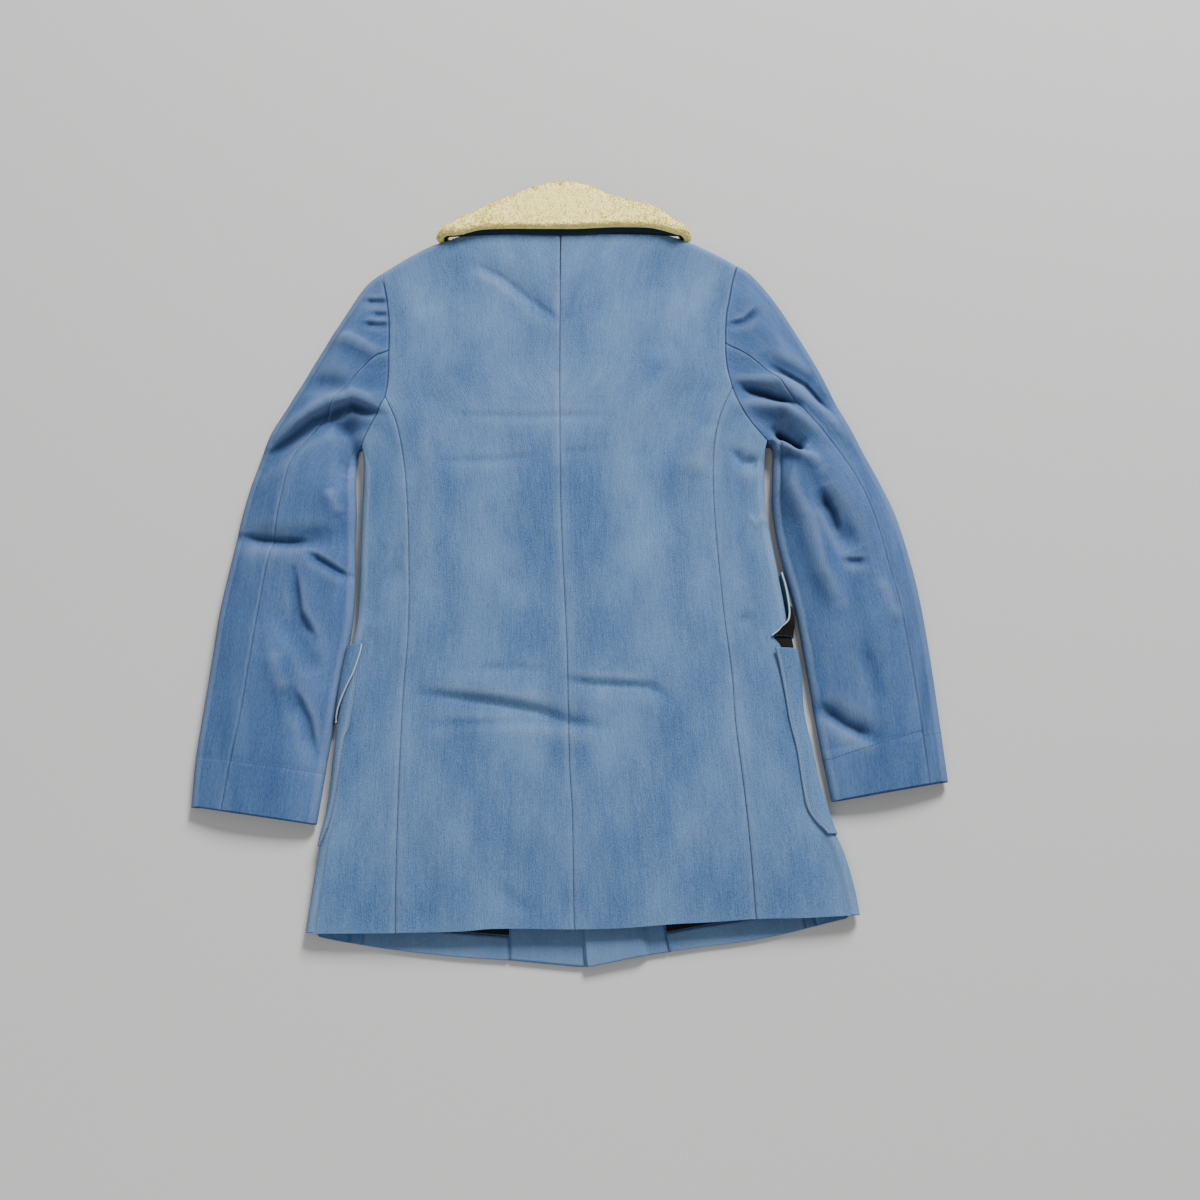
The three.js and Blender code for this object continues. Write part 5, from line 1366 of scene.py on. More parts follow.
@dataclass(frozen=True)
class Sleeve:
    """A two-piece sleeve, flattened beside the coat.

    The seams start at the armhole points numbered seam_at and low_seam_at; the lengths that end in
    rows are counted in rows of the sleeve's table.
    """

    pattern: Pattern
    form: CoatForm
    seam_at: int = 7
    low_seam_at: int = 2
    low_seam_share: float = 0.3
    spacing: float = 2.3
    length: float = 640.0
    upper_width: float = 110.0
    under_width: float = 120.0
    rounding: float = 8.0
    start_rows: float = 1.2
    inner_round_rows: float = 2.2
    hold_rows: float = 2.4
    seam_gap: float = 0.012
    cuff_row_number: float = 13.0
    row_power: float = 1.05
    cuff_hem: float = 52.0
    # Greatest depth of the painted shade in the sleeves' troughs
    painted_shade_level: float = 0.8

    @property
    def word(self) -> str:
        """The side's name."""
        return self.pattern.side.word

    @property
    def top_points(self) -> list[Sequence[float]]:
        """The armhole's points on top, from the armpit to the shoulder."""
        return [*self.pattern.arm_low, *self.pattern.arm_high[1:]]

    @property
    def low_points(self) -> list[Sequence[float]]:
        """Every other point of the armhole, for the underside."""
        return [*self.pattern.arm_low[::2], *self.pattern.arm_high[2::2]]

    def read(self, column: int, row: np.ndarray) -> np.ndarray:
        """A column of the sleeve's table at row numbers."""
        return Curve.along(self.pattern.sleeve, column).at(row)

    def normal(self, column: int, row: np.ndarray, turn: float) -> tuple[np.ndarray, np.ndarray]:
        """Direction out from an edge of the sleeve.

        Args:
            column: The edge's first column in the table.
            row: Row numbers.
            turn: Sign of the turn.

        Returns:
            X and Y of the direction, at length 1.
        """
        dx = self.read(column, row + 0.3) - self.read(column, row - 0.3)
        dy = self.read(column + 1, row + 0.3) - self.read(column + 1, row - 0.3)
        return unit(turn * dy, -turn * dx)

    def section(self, row: np.ndarray) -> dict[str, np.ndarray]:
        """Sizes of the sleeve at row numbers.

        Args:
            row: Row numbers, as a column.

        Returns:
            Centres and directions of both rounded edges, seam share, heights and the armhole's hold.
        """
        sign = self.pattern.side.value
        start = ease(row / self.start_rows)
        out_x, out_y = self.normal(2, row, -sign)
        in_x, in_y = self.normal(0, row, sign)
        out_x, out_y = unit(mix(self.pattern.shoulder_way[0], out_x, start),
                            mix(self.pattern.shoulder_way[1], out_y, start))
        in_round = self.rounding * ease(row / self.inner_round_rows)
        out_round = mix(SHOULDER_ROUND, self.rounding, start)
        return {
            "in_x": self.read(0, row) - in_x * in_round, "in_y": self.read(1, row) - in_y * in_round,
            "out_x": self.read(2, row) - out_x * out_round, "out_y": self.read(3, row) - out_y * out_round,
            "in_way": np.stack([in_x, in_y]), "out_way": np.stack([out_x, out_y]),
            "in_round": in_round, "out_round": out_round, "seam": self.read(4, row),
            "edge": self.read(5, row), "crown": self.read(6, row), "hold": 1 - ease(row / self.hold_rows),
        }

    def height(self, sec: dict[str, np.ndarray], share: np.ndarray, x: np.ndarray,
               y: np.ndarray) -> np.ndarray:
        """Top of the sleeve at plan points.

        Args:
            sec: The sections.
            share: Shares of the width.
            x: Plan X of the points.
            y: Plan Y of the points.

        Returns:
            The heights.
        """
        dome = 1 - np.abs(2 * share - 1)**CROWN_POWER
        own = sec["edge"] + sec["crown"] * dome + self.form.folds(x, y)
        return mix(own, self.form.top(x, y), sec["hold"])

    def flat(self, sec: dict[str, np.ndarray], first: dict[str, np.ndarray], points: Rows, k: np.ndarray,
             seam_at: int, low: bool, out: float) -> np.ndarray:
        """Grid of the sleeve's top or underside.

        Args:
            sec: The sections.
            first: The section at the armhole.
            points: The armhole's points.
            k: Point numbers, with fractions.
            seam_at: Number of the point on the seam.
            low: Whether it is the underside.
            out: Distance off the surface.

        Returns:
            The grid.
        """
        last = len(points) - 1

        def shares(seam: np.ndarray | float) -> np.ndarray:
            """Shares of the width at the point numbers."""
            return np.where(k <= seam_at, seam * k / seam_at, mix(seam, 1, (k - seam_at) / (last - seam_at)))

        start = shares(self.low_seam_share if low else float(first["seam"].ravel()[0]))
        share = start if low else shares(sec["seam"])
        arm_x, arm_y = Curve.along(points, 0).at(k), Curve.along(points, 1).at(k)
        off_x = arm_x - mix(first["in_x"], first["out_x"], start)
        off_y = arm_y - mix(first["in_y"], first["out_y"], start)
        x = mix(sec["in_x"], sec["out_x"], share) + off_x * sec["hold"]
        y = mix(sec["in_y"], sec["out_y"], share) + off_y * sec["hold"]
        if low:
            return stack(x, y, self.form.bottom(x, y) * sec["hold"] - out)
        return stack(x, y, self.height(sec, share, x, y) + out)

    def arc(self, sec: dict[str, np.ndarray], outer: bool, out: float) -> np.ndarray:
        """Grid of a rounded edge, from top to underside.

        Args:
            sec: The sections.
            outer: Whether it is the outer edge.
            out: Distance off the surface.

        Returns:
            The grid.
        """
        key = "out" if outer else "in"
        cx, cy, way, rounding = sec[f"{key}_x"], sec[f"{key}_y"], sec[f"{key}_way"], sec[f"{key}_round"]
        angle = np.linspace(math.pi / 2, -math.pi / 2, ARC_POINTS)
        top = self.height(sec, np.array(1.0 if outer else 0.0), cx, cy)
        bottom = self.form.bottom(cx, cy) * sec["hold"]
        reach = (rounding + out) * np.cos(angle)
        z = (top + bottom) / 2 + ((top - bottom) / 2 + out) * np.sin(angle)
        return stack(cx + way[0] * reach, cy + way[1] * reach, z)

    def grid(self, upper: bool, out: float) -> np.ndarray:
        """Grid of the upper or the under sleeve.

        Args:
            upper: Whether it is the upper sleeve.
            out: Distance off the surface.

        Returns:
            The grid.
        """
        gap = self.seam_gap
        row = mix(gap, self.cuff_row_number, spread(self.length, self.spacing)**self.row_power)[:, None]
        sec, first = self.section(row), self.section(np.array([[0.0]]))
        top_end, low_end = len(self.top_points) - 1, len(self.low_points) - 1
        if upper:
            k = mix(self.seam_at + gap, top_end, spread(self.upper_width, self.spacing))[:-1]
            low_k = mix(low_end, self.low_seam_at + gap, np.linspace(0, 1, 16))[1:]
        else:
            k = mix(self.seam_at - gap, 0, spread(self.under_width, self.spacing))[:-1]
            low_k = mix(0, self.low_seam_at - gap, np.linspace(0, 1, 9))[1:]
        top = self.flat(sec, first, self.top_points, k, self.seam_at, False, out)
        low = self.flat(sec, first, self.low_points, low_k, self.low_seam_at, True, out)
        return np.concatenate([top, self.arc(sec, upper, out), low], axis=1)

    def build(self) -> list[bpy.types.Object]:
        """Builds both pieces and the cuff's sewing.

        Returns:
            The two pieces, each with its sewing.
        """
        made = []
        for word, upper in (("upper", True), ("under", False)):
            outer, inner = self.grid(upper, 0), self.grid(upper, -DENIM)
            # Rubbing beside the seams with painted shade along the armhole seam's row, crests paler from
            # rubbing and painted highlight, troughs darker as painted shade
            wear_and_painted_light = SeamEdges(first_column=True, first_row=True).press(outer, inner)
            wear_and_painted_light += crest_wear(outer, self.painted_shade_level)
            self.turn_cuff(outer, inner)
            piece = Mesher.wall(f"cloth_sleeve_{self.word}_{word}", outer, inner, SLEEVE_DENIM, wear_and_painted_light)
            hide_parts(f"sleeve_{self.word}_{word}")
            line = Stitches(f"stitch_cuff_{self.word}_{word}", 3.6).run(outer, self.cuff_row(outer))
            declare(piece, outer, ["floor"])
            made += [piece, line]
        return made

    def cuff_row(self, grid: np.ndarray) -> int:
        """Row of the grid where the cuff's hem is sewn.

        Args:
            grid: Grid of a sleeve's piece.

        Returns:
            The number of the row.
        """
        _, v = Mesher.arcs(grid)
        middle = grid.shape[1] // 3
        return int(np.searchsorted(v[:, middle], v[-1, middle] - self.cuff_hem))

    def turn_cuff(self, outer: np.ndarray, inner: np.ndarray) -> None:
        """Dents the cloth along the sewn hem and thickens the turned cuff a little.

        Args:
            outer: Grid of the outer face, changed in place.
            inner: Grid of the inner face, changed in place.
        """
        _, v = Mesher.arcs(outer)
        away = v[-1:, :] - v
        top_side = ease((outer[..., 2] - 8) / 3)
        dent = -0.5 * np.exp(-(((away - self.cuff_hem) / 2.0)**2))
        dz = (dent + 0.35 * ease((self.cuff_hem - away) / 3)) * top_side
        outer[..., 2] += dz
        inner[..., 2] += dz


@dataclass
class Stitches:
    """A line of machine stitches on cloth."""

    name: str
    pitch: float
    radius: float = 0.32
    fill: float = 0.72
    lift: float = 0.1
    sides: int = 5
    taper: tuple[float, ...] = (0.35, 1.0, 1.0, 0.35)

    def run(self, grid: np.ndarray, row: int) -> bpy.types.Object:
        """Sews along a row of a grid."""
        return self.sew(grid[row], np.gradient(grid, axis=0)[row])

    def sew(self, line: np.ndarray, across: np.ndarray) -> bpy.types.Object:
        """Sews along a line of points.

        Args:
            line: Points on the cloth, in millimetres.
            across: Direction over the cloth away from the line, at each point.

        Returns:
            The stitches, one piece.
        """
        along = np.gradient(line, axis=0)
        up = np.cross(along, across)
        up /= np.linalg.norm(up, axis=1, keepdims=True)
        inside = line.mean(axis=0) - np.array([0, 0, 30])
        up *= np.sign(np.einsum("ij,ij->i", up, line - inside))[:, None] + 1e-9
        length = np.concatenate([[0], np.cumsum(np.linalg.norm(np.diff(line, axis=0), axis=1))])
        points, faces = [], []
        for start in np.arange(1.0, length[-1] - self.pitch, self.pitch):
            marks = np.linspace(start, start + self.pitch * self.fill, len(self.taper))
            centre = np.stack([np.interp(marks, length, line[:, i]) for i in range(3)], axis=1)
            normal = np.stack([np.interp(marks, length, up[:, i]) for i in range(3)], axis=1)
            ahead = centre[-1] - centre[0]
            ahead /= np.linalg.norm(ahead)
            first = len(points)
            for i, size in enumerate(self.taper):
                beside = np.cross(ahead, normal[i])
                for turn in range(self.sides):
                    angle = turn * 2 * math.pi / self.sides
                    ring = normal[i] * math.cos(angle) + beside * math.sin(angle)
                    points.append(centre[i] + normal[i] * self.lift + ring * self.radius * size)
            for i in range(len(self.taper) - 1):
                for turn in range(self.sides):
                    ring_start = first + i * self.sides
                    a, b = ring_start + turn, ring_start + (turn + 1) % self.sides
                    faces.append((a, b, b + self.sides, a + self.sides))
        return Mesher.mesh(self.name, Mesher.place(np.array(points)), faces, BLUE_THREAD)


@dataclass(frozen=True)
class Patches:
    """The pocket and flap of one side."""

    pattern: Pattern
    form: CoatForm
    pocket_length: float = 195.0
    pocket_under: float = 100.0
    pocket_narrowing: float = 16.0
    mouth_depth: float = 22.0
    flap_length: float = 80.0
    flap_spacing: float = 2.4
    flap_under: float = 96.0
    lining_and_shade_y: tuple[float, float] = (-46.5, -12.0)
    lining_and_shade_columns: tuple[int, int] = (1, 20)
    edge_radius: float = 0.95
    edge_sides: int = 8

    @property
    def word(self) -> str:
        """The side's name."""
        return self.pattern.side.word

    @property
    def hangs(self) -> bool:
        """Whether the flap hangs over its pocket, as on the left, and isn't turned up."""
        return self.pattern.side is Side.LEFT

    @staticmethod
    def columns(start: np.ndarray, under: np.ndarray | float) -> np.ndarray:
        """Wrap distances across a patch, from its visible end to underneath.

        Args:
            start: Wrap distance of the visible end, for each row.
            under: Width underneath.

        Returns:
            The distances, a row for each row of the patch.
        """
        brink = np.minimum(QUARTER, start - 1.5)
        below = np.full_like(start, -QUARTER)
        marks = [start, brink, np.minimum(0, start - 3), below, below - under]
        parts = [mix(marks[i], marks[i + 1], np.linspace(0, 1, n, endpoint=False))
                 for i, n in enumerate((8, 7, 7, 26))]
        return np.concatenate([*parts, marks[-1]], axis=1)

    def pocket_grid(self, out: float) -> np.ndarray:
        """Grid of the pocket.

        Args:
            out: Distance off its inner face.

        Returns:
            The grid.
        """
        rows = self.pattern.pocket
        r = spread(self.pocket_length, FINE)[:, None] * (len(rows) - 1)
        y, x = Curve.along(rows, 0).at(r), Curve.along(rows, 1).at(r)
        gape = 0.6 if self.hangs else 2.6
        under = self.pocket_under - self.pocket_narrowing * ease((r - 6) / 3)
        wrap = self.columns(self.form.wrap_at(self.pattern, y, x), under)
        lift = gape * np.exp((y - rows[0][0]) / self.mouth_depth) * ease((wrap + 12) / 16)
        return self.form.wrap(self.pattern, y, wrap, PATCH_GAP + lift + out)

    def flap_grid(self, out: float) -> np.ndarray:
        """Grid of the flap.

        Args:
            out: Distance off its inner face.

        Returns:
            The grid.
        """
        rows = self.pattern.flap
        r = spread(self.flap_length, self.flap_spacing)[:, None] * (len(rows) - 1)
        y, x, off = (Curve.along(rows, i).at(r) for i in range(3))
        wrap = self.columns(self.form.wrap_at(self.pattern, y, x), self.flap_under)
        stand_off, bed = (1.6, PATCH_RISE) if self.hangs else (5.5, 0)
        lift = stand_off * off * ease((wrap + 12) / 16)
        return self.form.wrap(self.pattern, y, wrap, bed + PATCH_GAP + lift + out)

    def build(self) -> list[bpy.types.Object]:
        """Builds the pocket, the flap, its pale edge and the sewing, and on the right a dark patch of lining
        colour with painted shadow.

        Returns:
            The pocket with its sewing, and the flap with its edge and, on the right, the dark patch.
        """
        outer, inner = self.pocket_grid(PATCH_CLOTH), self.pocket_grid(0)
        u, _ = Mesher.arcs(outer)
        outer[:, 0, 2] -= 0.9
        wear_and_painted_light = 0.3 * np.exp(-(((u - 2) / 2.2)**2))
        pocket = Mesher.wall(f"cloth_pocket_{self.word}", outer, inner, BODY_DENIM, wear_and_painted_light)
        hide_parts(f"pocket_{self.word}")
        sewing = Stitches(f"stitch_pocket_{self.word}", 3.4, 0.26)
        seam = sewing.sew(outer[:, 3], np.gradient(outer, axis=1)[:, 3])
        declare(pocket, outer, ["floor"])
        outer, inner = self.flap_grid(PATCH_CLOTH), self.flap_grid(0)
        flap = Mesher.wall(f"cloth_flap_{self.word}", outer, inner, BODY_DENIM)
        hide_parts(f"flap_{self.word}")
        edge = self.bead(f"flap_edge_{self.word}", (outer[:, 0] + inner[:, 0]) / 2)
        # On the right, a dark patch of lining colour and painted shadow lies beyond the flap's pale edge
        extras = [edge] if self.hangs else [edge, self.lining_and_painted_shade()]
        declare(flap, outer, [pocket.name])
        return [pocket, seam, flap, *extras]

    def lining_and_painted_shade(self) -> bpy.types.Object:
        """Dark lining colour on the lower part of the turned-up flap, beyond its pale edge: the pocket's
        lining, with painted shadow of the gap under the flap.

        Returns:
            The thin piece, made from the flap's own points.
        """
        over, under = self.flap_grid(PATCH_CLOTH + 0.5), self.flap_grid(PATCH_CLOTH + 0.1)
        low, high = self.lining_and_shade_y
        rows = np.nonzero((over[:, 0, 1] >= low) & (over[:, 0, 1] <= high))[0]
        part = (slice(rows[0], rows[-1] + 1), slice(*self.lining_and_shade_columns))
        return Mesher.wall(f"flap_face_{self.word}", over[part], under[part], DARK_LINING)

    def bead(self, name: str, line: np.ndarray) -> bpy.types.Object:
        """Makes a pale bead along a line of points.

        Args:
            name: The piece's name.
            line: The points.

        Returns:
            The piece.
        """
        along = np.gradient(line, axis=0)
        along /= np.linalg.norm(along, axis=1, keepdims=True)
        side = np.cross(along, np.array([0.0, 0.0, 1.0]))
        side /= np.linalg.norm(side, axis=1, keepdims=True)
        up = np.cross(side, along)
        sides = self.edge_sides
        angles = np.linspace(0, 2 * math.pi, sides, endpoint=False)
        rings = np.stack([line + self.edge_radius * (side * math.cos(a) + up * math.sin(a)) for a in angles],
                         axis=1)
        faces = []
        for first in range(0, (len(rings) - 1) * sides, sides):
            for turn in range(sides):
                a, b = first + turn, first + (turn + 1) % sides
                faces.append((a, b, b + sides, a + sides))
        return Mesher.mesh(name, Mesher.place(rings), faces, PALE_EDGE)


# How far the collar's section goes from straight legs to a smooth curve
CORNER_SOFTNESS = 0.6


@dataclass(frozen=True)
class Collar:
    """The fleece collar with its denim under collar.

    The flat sizes are measured over the rings' points numbered under_face and fleece_face.
    """

    back_stations: int = 170
    front_stations: int = 60
    end_stations: int = 26
    under_points: int = 48
    under_face: tuple[int, int] = (20, 45)
    fleece_points: int = 78
    fleece_face: tuple[int, int] = (4, 62)
    knotted_face: tuple[int, int] = (8, 56)
    curled_face: tuple[int, int] = (9, 54)
    curl_count: int = 5200
    curl_radius: float = 0.36
    clear_height: float = 3.0
    seed: int = 7

    @staticmethod
    def lines(table: Rows, x: np.ndarray) -> list[np.ndarray]:
        """Roll line, fall edge and neck seam of a table at x."""
        return [Curve.of(table, 0, i).at(x) for i in (1, 2, 3)]

    def path(self) -> np.ndarray:
        """Stations across the back, round the ends and along the front.

        Returns:
            Rows of x, angle, roll line, fall edge and neck seam.
        """
        left, right = COLLAR_TURNS
        parts = [self.flat_run(COLLAR_FRONT, COLLAR_SPLIT[0], left, -math.pi / 2, self.front_stations)]
        parts.append(self.end_run(left, -1))
        parts.append(self.flat_run(COLLAR_BACK, left, right, math.pi / 2, self.back_stations)[1:-1])
        parts.append(self.end_run(right, 1))
        parts.append(self.flat_run(COLLAR_FRONT, right, COLLAR_SPLIT[1], -math.pi / 2, self.front_stations))
        return np.concatenate(parts)

    def flat_run(self, table: Rows, start: float, end: float, angle: float, count: int) -> np.ndarray:
        """Stations along the flat back or front.

        Args:
            table: The collar's table.
            start: X of the first station.
            end: X of the last station.
            angle: Which way the collar faces there.
            count: How many stations.

        Returns:
            The stations, as rows.
        """
        x = np.linspace(start, end, count)
        if angle < 0:
            x = x[1:] if start in COLLAR_TURNS else x[:-1]
        return np.stack([x, np.full_like(x, angle), *self.lines(table, x)], axis=1)

    def end_run(self, x: float, sign: int) -> np.ndarray:
        """Stations round a folded end.

        Args:
            x: X of the end.
            sign: Sign of its side.

        Returns:
            The stations, as rows.
        """
        t = np.linspace(0, 1, self.end_stations)
        from_front = t if sign < 0 else 1 - t
        turn = -math.pi / 2 + from_front * math.pi
        angle = math.pi - turn if sign < 0 else turn
        back, front = self.lines(COLLAR_BACK, np.array(x)), self.lines(COLLAR_FRONT, np.array(x))
        lines = [np.where(from_front < 0.5, mix(front[i], COLLAR_END[i], ease(from_front * 2)),
                          mix(COLLAR_END[i], back[i], ease(from_front * 2 - 1))) for i in range(3)]
        return np.stack([np.full_like(t, x), angle, *lines], axis=1)

    def sweep(self, section: Callable[[np.ndarray], list[tuple[np.ndarray, np.ndarray]]],
              count: int) -> np.ndarray:
        """Rings along the collar.

        Args:
            section: Gives the section's corners, off the stand and along the coat, for all stations.
            count: Points of each ring.

        Returns:
            The rings, in millimetres.
        """
        stations = self.path()
        corners = section(stations)
        off, y = (np.stack([np.broadcast_to(corner[i], (len(stations),)) for corner in corners], axis=1)
                  for i in (0, 1))
        size = len(corners)
        t = np.arange(count) * size / count
        closed = [np.concatenate([v[:, -1:], v, v[:, :2]], axis=1) for v in (off, y)]
        i = np.floor(t).astype(int)
        f = t - i
        ring = []
        for v in closed:
            a, b, c, d = v[:, i], v[:, i + 1], v[:, i + 2], v[:, i + 3]
            square, cube = 2 * a - 5 * b + 4 * c - d, 3 * b - a - 3 * c + d
            curve = 0.5 * (2 * b + (c - a) * f + square * f**2 + cube * f**3)
            ring.append(mix(mix(b, c, f), curve, CORNER_SOFTNESS))
        radius = STAND_ROUND + ring[0]
        angle = stations[:, 1:2]
        x = stations[:, 0:1] + radius * np.cos(angle)
        return stack(x, ring[1], COLLAR_MIDDLE_Z + radius * np.sin(angle))

    @staticmethod
    def fleece_section(st: np.ndarray) -> list[tuple[np.ndarray, np.ndarray]]:
        """Corners of the fleece's section at the stations.

        Args:
            st: The stations.

        Returns:
            Distance off the stand and plan Y of each corner.
        """
        roll, edge = st[:, 2], st[:, 3]
        low = np.full_like(roll, STAND_CLOTH + 2 * FALL_GAP)
        high, body, tip = low + FLEECE, roll - edge, roll - 6.6
        zero = np.zeros_like(roll)
        return [(low, edge + 0.6), (low + 2, edge), (high - 1.8, edge + 0.5), (high, edge + 3.2),
                (high, edge + body * 0.35), (high - 0.2, roll - 9.5), (high - 1.6, roll - 4.2),
                (low + 3.6, roll - 1), (zero + 0.8, roll), (zero - STAND_CLOTH + 0.3, roll - 1.6),
                (zero - STAND_CLOTH, tip + 0.2), (low, tip + 0.2), (low, edge + body * 0.3)]

    @staticmethod
    def under_section(st: np.ndarray) -> list[tuple[np.ndarray, np.ndarray]]:
        """Corners of the under collar's section at the stations.

        Args:
            st: The stations.

        Returns:
            Distance off the stand and plan Y of each corner.
        """
        roll, edge, seam = st[:, 2], st[:, 3], st[:, 4]
        zero = np.zeros_like(roll)
        high, tip = zero + STAND_CLOTH + FALL_GAP, roll - 6.9
        fold, shows = tip - 2.6, np.maximum(edge - 4.2, seam + 1.2)
        gap = zero + FALL_GAP
        return [(zero, seam + SEAM_GAP), (zero, fold), (gap / 2, fold + 0.25), (gap, fold), (gap, shows),
                (high, shows), (high, fold), (high - 0.8, tip - 0.5), (gap / 2, tip),
                (zero - STAND_CLOTH + 0.8, tip - 0.5), (zero - STAND_CLOTH, fold),
                (zero - STAND_CLOTH, seam + SEAM_GAP)]

    @staticmethod
    def skin(name: str, rings: np.ndarray, finish: Finish) -> bpy.types.Object:
        """Closed skin over rings, with both ends capped.

        Args:
            name: The piece's name.
            rings: The rings.
            finish: What it is made of.

        Returns:
            The piece.
        """
        count, size = rings.shape[:2]
        ids = np.arange(count * size).reshape(count, size)
        after = np.roll(ids, -1, axis=1)
        quads = np.stack([ids[:-1], after[:-1], after[1:], ids[1:]], axis=-1).reshape(-1, 4)
        faces = quads.tolist() + [ids[0][::-1].tolist(), ids[-1].tolist()]
        along, around = np.repeat(np.arange(count), size) * 0.0016, np.tile(np.arange(size), count) * 0.002
        cloth = np.stack([along, around], axis=1)
        return Mesher.mesh(name, Mesher.place(rings), faces, finish, cloth, np.zeros(count * size))

    def build(self) -> list[bpy.types.Object]:
        """Builds the under collar, the fleece and its curls.

        Returns:
            The pieces.
        """
        rings = self.sweep(self.under_section, self.under_points)
        # The under collar takes the denim darkened as painted shade
        under = self.skin("cloth_collar_under", rings, PAINTED_SHADE_DENIM)
        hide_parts("collar_under")
        declare(under, rings[:, slice(*self.under_face)], ["cloth_back_left", "cloth_back_right"])
        rings = self.sweep(self.fleece_section, self.fleece_points)
        normals = self.knot(rings)
        fleece = self.skin("fleece_collar", rings, CREAM_FLEECE)
        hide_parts("collar_top")
        curls = self.curls(rings, normals)
        declare(fleece, rings[:, slice(*self.fleece_face)], [under.name])
        return [under, fleece, curls]

    def knot(self, rings: np.ndarray) -> np.ndarray:
        """Knots the fleece's outer face into small curls.

        Args:
            rings: The fleece's rings, changed in place.

        Returns:
            The outward normals of the smooth face.
        """
        along = np.gradient(rings, axis=0)
        around = np.roll(rings, -1, axis=1) - np.roll(rings, 1, axis=1)
        normals = np.cross(around, along)
        normals /= np.linalg.norm(normals, axis=2, keepdims=True) + 1e-9
        centre = rings.mean(axis=1, keepdims=True)
        if np.einsum("ijk,ijk->", normals, rings - centre) < 0:
            normals = -normals
        mask = np.zeros(rings.shape[1])
        mask[slice(*self.knotted_face)] = 1
        mask = np.convolve(mask, np.ones(5) / 5, mode="same")
        for i in range(rings.shape[0]):
            for j in np.nonzero(mask)[0]:
                p = Vector(rings[i, j])
                knots = noise.noise(p * 0.33) * 1.15 + noise.noise(p * 0.75 + Vector((7, 3, 1))) * 0.95
                floor_room = min(1.0, max(0.0, rings[i, j, 2] / 4))
                rings[i, j] += normals[i, j] * (knots - 0.35) * mask[j] * floor_room
        return normals

    def curls(self, rings: np.ndarray, normals: np.ndarray) -> bpy.types.Object:
        """Short curled tufts over the fleece.

        Args:
            rings: The knotted rings.
            normals: Their outward normals.

        Returns:
            The tufts, one piece.
        """
        rng = np.random.default_rng(self.seed)
        points, faces = [], []
        for _ in range(self.curl_count):
            i, j = rng.integers(1, rings.shape[0] - 2), rng.integers(*self.curled_face)
            base, up = rings[i, j] + rng.normal(0, 0.5, 3), normals[i, j]
            if base[2] < self.clear_height:
                continue
            lean = np.cross(up, rng.normal(0, 1, 3))
            lean /= np.linalg.norm(lean) + 1e-9
            beside = np.cross(up, lean)
            size, turn = rng.uniform(0.9, 1.7), rng.uniform(0.7, 1.6)
            first = len(points)
            for step in range(4):
                angle = step * turn
                centre = base + lean * math.sin(angle) * size + up * (1 - math.cos(angle)) * size * 0.6
                centre = centre + beside * step * 0.16
                radius = self.curl_radius * (1 - step * 0.22)
                for k in range(3):
                    a = k * 2 * math.pi / 3
                    points.append(centre + (up * math.cos(a) + beside * math.sin(a)) * radius)
            for step in range(3):
                for k in range(3):
                    a, b = first + step * 3 + k, first + step * 3 + (k + 1) % 3
                    faces.append((a, b, b + 3, a + 3))
        return Mesher.mesh("fleece_curls", Mesher.place(np.array(points)), faces, CREAM_FLEECE)


@dataclass(frozen=True)
class PocketLining:
    """Dark lining in the open mouth of the right pocket."""

    pattern: Pattern
    form: CoatForm
    top_y: float = -46.6
    low_y: float = -78.0
    rows: int = 14
    columns: int = 20
    wide: float = 11.0
    narrow: float = 5.0
    narrows_over: float = 10.0
    round_the_edge: float = -8.0
    cloth: float = 0.4

    def build(self) -> list[bpy.types.Object]:
        """Builds the lining.

        Returns:
            The one piece, in a list.
        """
        y = np.linspace(self.top_y, self.low_y, self.rows)[:, None]
        reach = QUARTER + mix(self.wide, self.narrow, ease((self.top_y - y) / self.narrows_over))
        wrap = mix(reach, self.round_the_edge, np.linspace(0, 1, self.columns)[None, :])
        outer = self.form.wrap(self.pattern, y, wrap, LAYER_GAP + self.cloth)
        inner = self.form.wrap(self.pattern, y, wrap, LAYER_GAP)
        piece = Mesher.wall("cloth_pocket_lining_right", outer, inner, DARK_LINING)
        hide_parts("pocket_lining_right")
        declare(piece, outer, ["cloth_side_right"])
        return [piece]


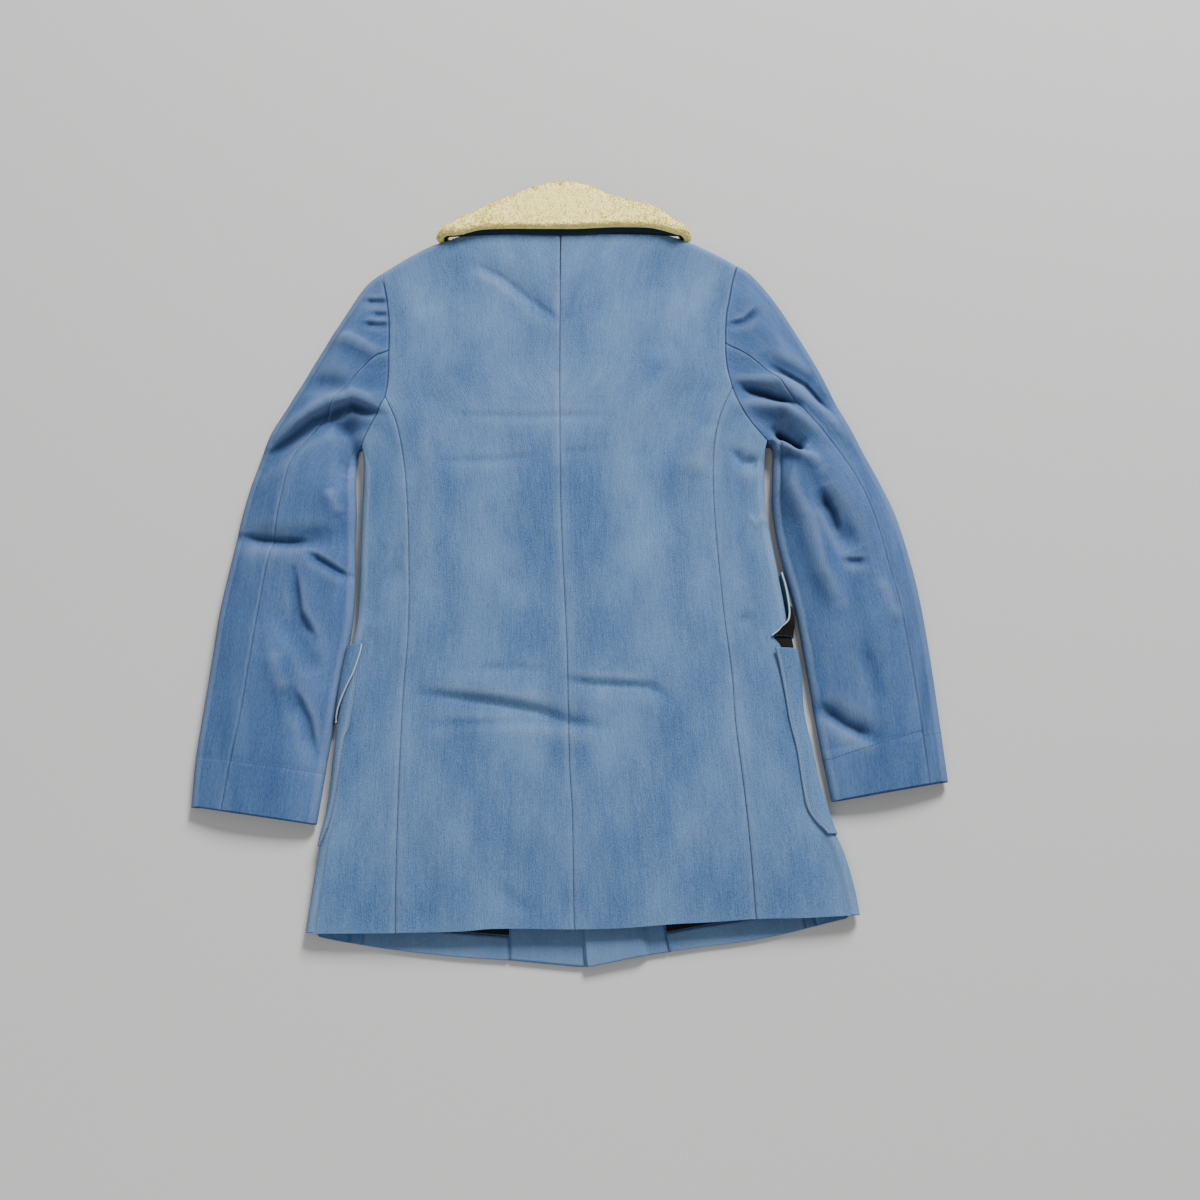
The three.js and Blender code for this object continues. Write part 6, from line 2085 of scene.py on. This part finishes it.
@dataclass(frozen=True)
class Studio:
    """The floor, the lights and the camera, whose lens is in pixels of a square frame."""

    floor_tone: float = 0.43
    floor_half: float = 25.0
    floor_drop: float = 0.0003
    key_place: tuple[float, float, float] = (1.6, 4.2, 2.8)
    key_size: float = 1.75
    key_power: float = 742.0
    fill_place: tuple[float, float, float] = (-0.5, -1.7, 1.7)
    fill_size: float = 1.8
    fill_power: float = 22.5
    world_tone: float = 0.405
    lens_px: float = 1150.0
    frame_px: float = 1200.0
    sensor: float = 36.0
    camera_far: float = 1.25
    camera_tilt: float = 72.0

    def build(self) -> None:
        """Sets up the whole studio."""
        self.floor()
        self.light("key_light", self.key_place, self.key_size, self.key_power)
        self.light("fill_light", self.fill_place, self.fill_size, self.fill_power)
        world = bpy.data.worlds.new("soft_room")
        world.use_nodes = True
        world.node_tree.nodes["Background"].inputs[0].default_value = (self.world_tone,) * 3 + (1,)
        bpy.context.scene.world = world
        self.camera()

    def floor(self) -> None:
        """Lays the pale floor."""
        data = bpy.data.meshes.new("floor")
        signs = ((-1, -1), (1, -1), (1, 1), (-1, 1))
        corners = [(x * self.floor_half, y * self.floor_half, 0) for x, y in signs]
        data.from_pydata(corners, [], [(0, 1, 2, 3)])
        tone = (self.floor_tone, self.floor_tone, self.floor_tone * 0.99)
        data.materials.append(Finish("pale_floor", "", tone, tone, 0.95).material())
        floor = bpy.data.objects.new("floor", data)
        floor.location.z = -self.floor_drop
        bpy.context.scene.collection.objects.link(floor)

    @staticmethod
    def light(name: str, place: tuple[float, float, float], size: float, power: float) -> None:
        """Hangs a soft square light that faces the coat.

        Args:
            name: Its name.
            place: Where it hangs, in metres.
            size: Length of its side.
            power: Its power in watts.
        """
        lamp = bpy.data.lights.new(name, "AREA")
        lamp.size = size
        lamp.energy = power
        item = bpy.data.objects.new(name, lamp)
        item.location = place
        item.rotation_euler = (-Vector(place)).to_track_quat("-Z", "Y").to_euler()
        bpy.context.scene.collection.objects.link(item)

    def camera(self) -> None:
        """Places the camera over the hem side, looking down at the coat."""
        data = bpy.data.cameras.new("camera")
        data.sensor_width = self.sensor
        data.lens = self.sensor * self.lens_px / self.frame_px
        data.clip_start = 0.01
        item = bpy.data.objects.new("camera", data)
        tilt = math.radians(self.camera_tilt)
        aim = Vector((AIM_IN_FRAME[0] * MM, AIM_IN_FRAME[1] * MM, 0))
        back = Vector((0, -math.cos(tilt), math.sin(tilt)))
        item.location = aim + back * self.camera_far
        item.rotation_euler = (-back).to_track_quat("-Z", "Y").to_euler()
        bpy.context.scene.collection.objects.link(item)
        bpy.context.scene.camera = item


def main() -> None:
    """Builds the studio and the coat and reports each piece."""
    logging.basicConfig(level=logging.INFO)
    form = CoatForm()
    Studio().build()
    parts = []
    for pattern in PATTERNS:
        parts += [BodyPanels(pattern, form), Sleeve(pattern, form), Patches(pattern, form)]
    parts += [PocketLining(PATTERNS[1], form), Collar()]
    for part in parts:
        for piece in part.build():
            LOG.info("%s: %d faces", piece.name, len(piece.data.polygons))
    bpy.context.view_layer.update()


if __name__ == "__main__":
    main()
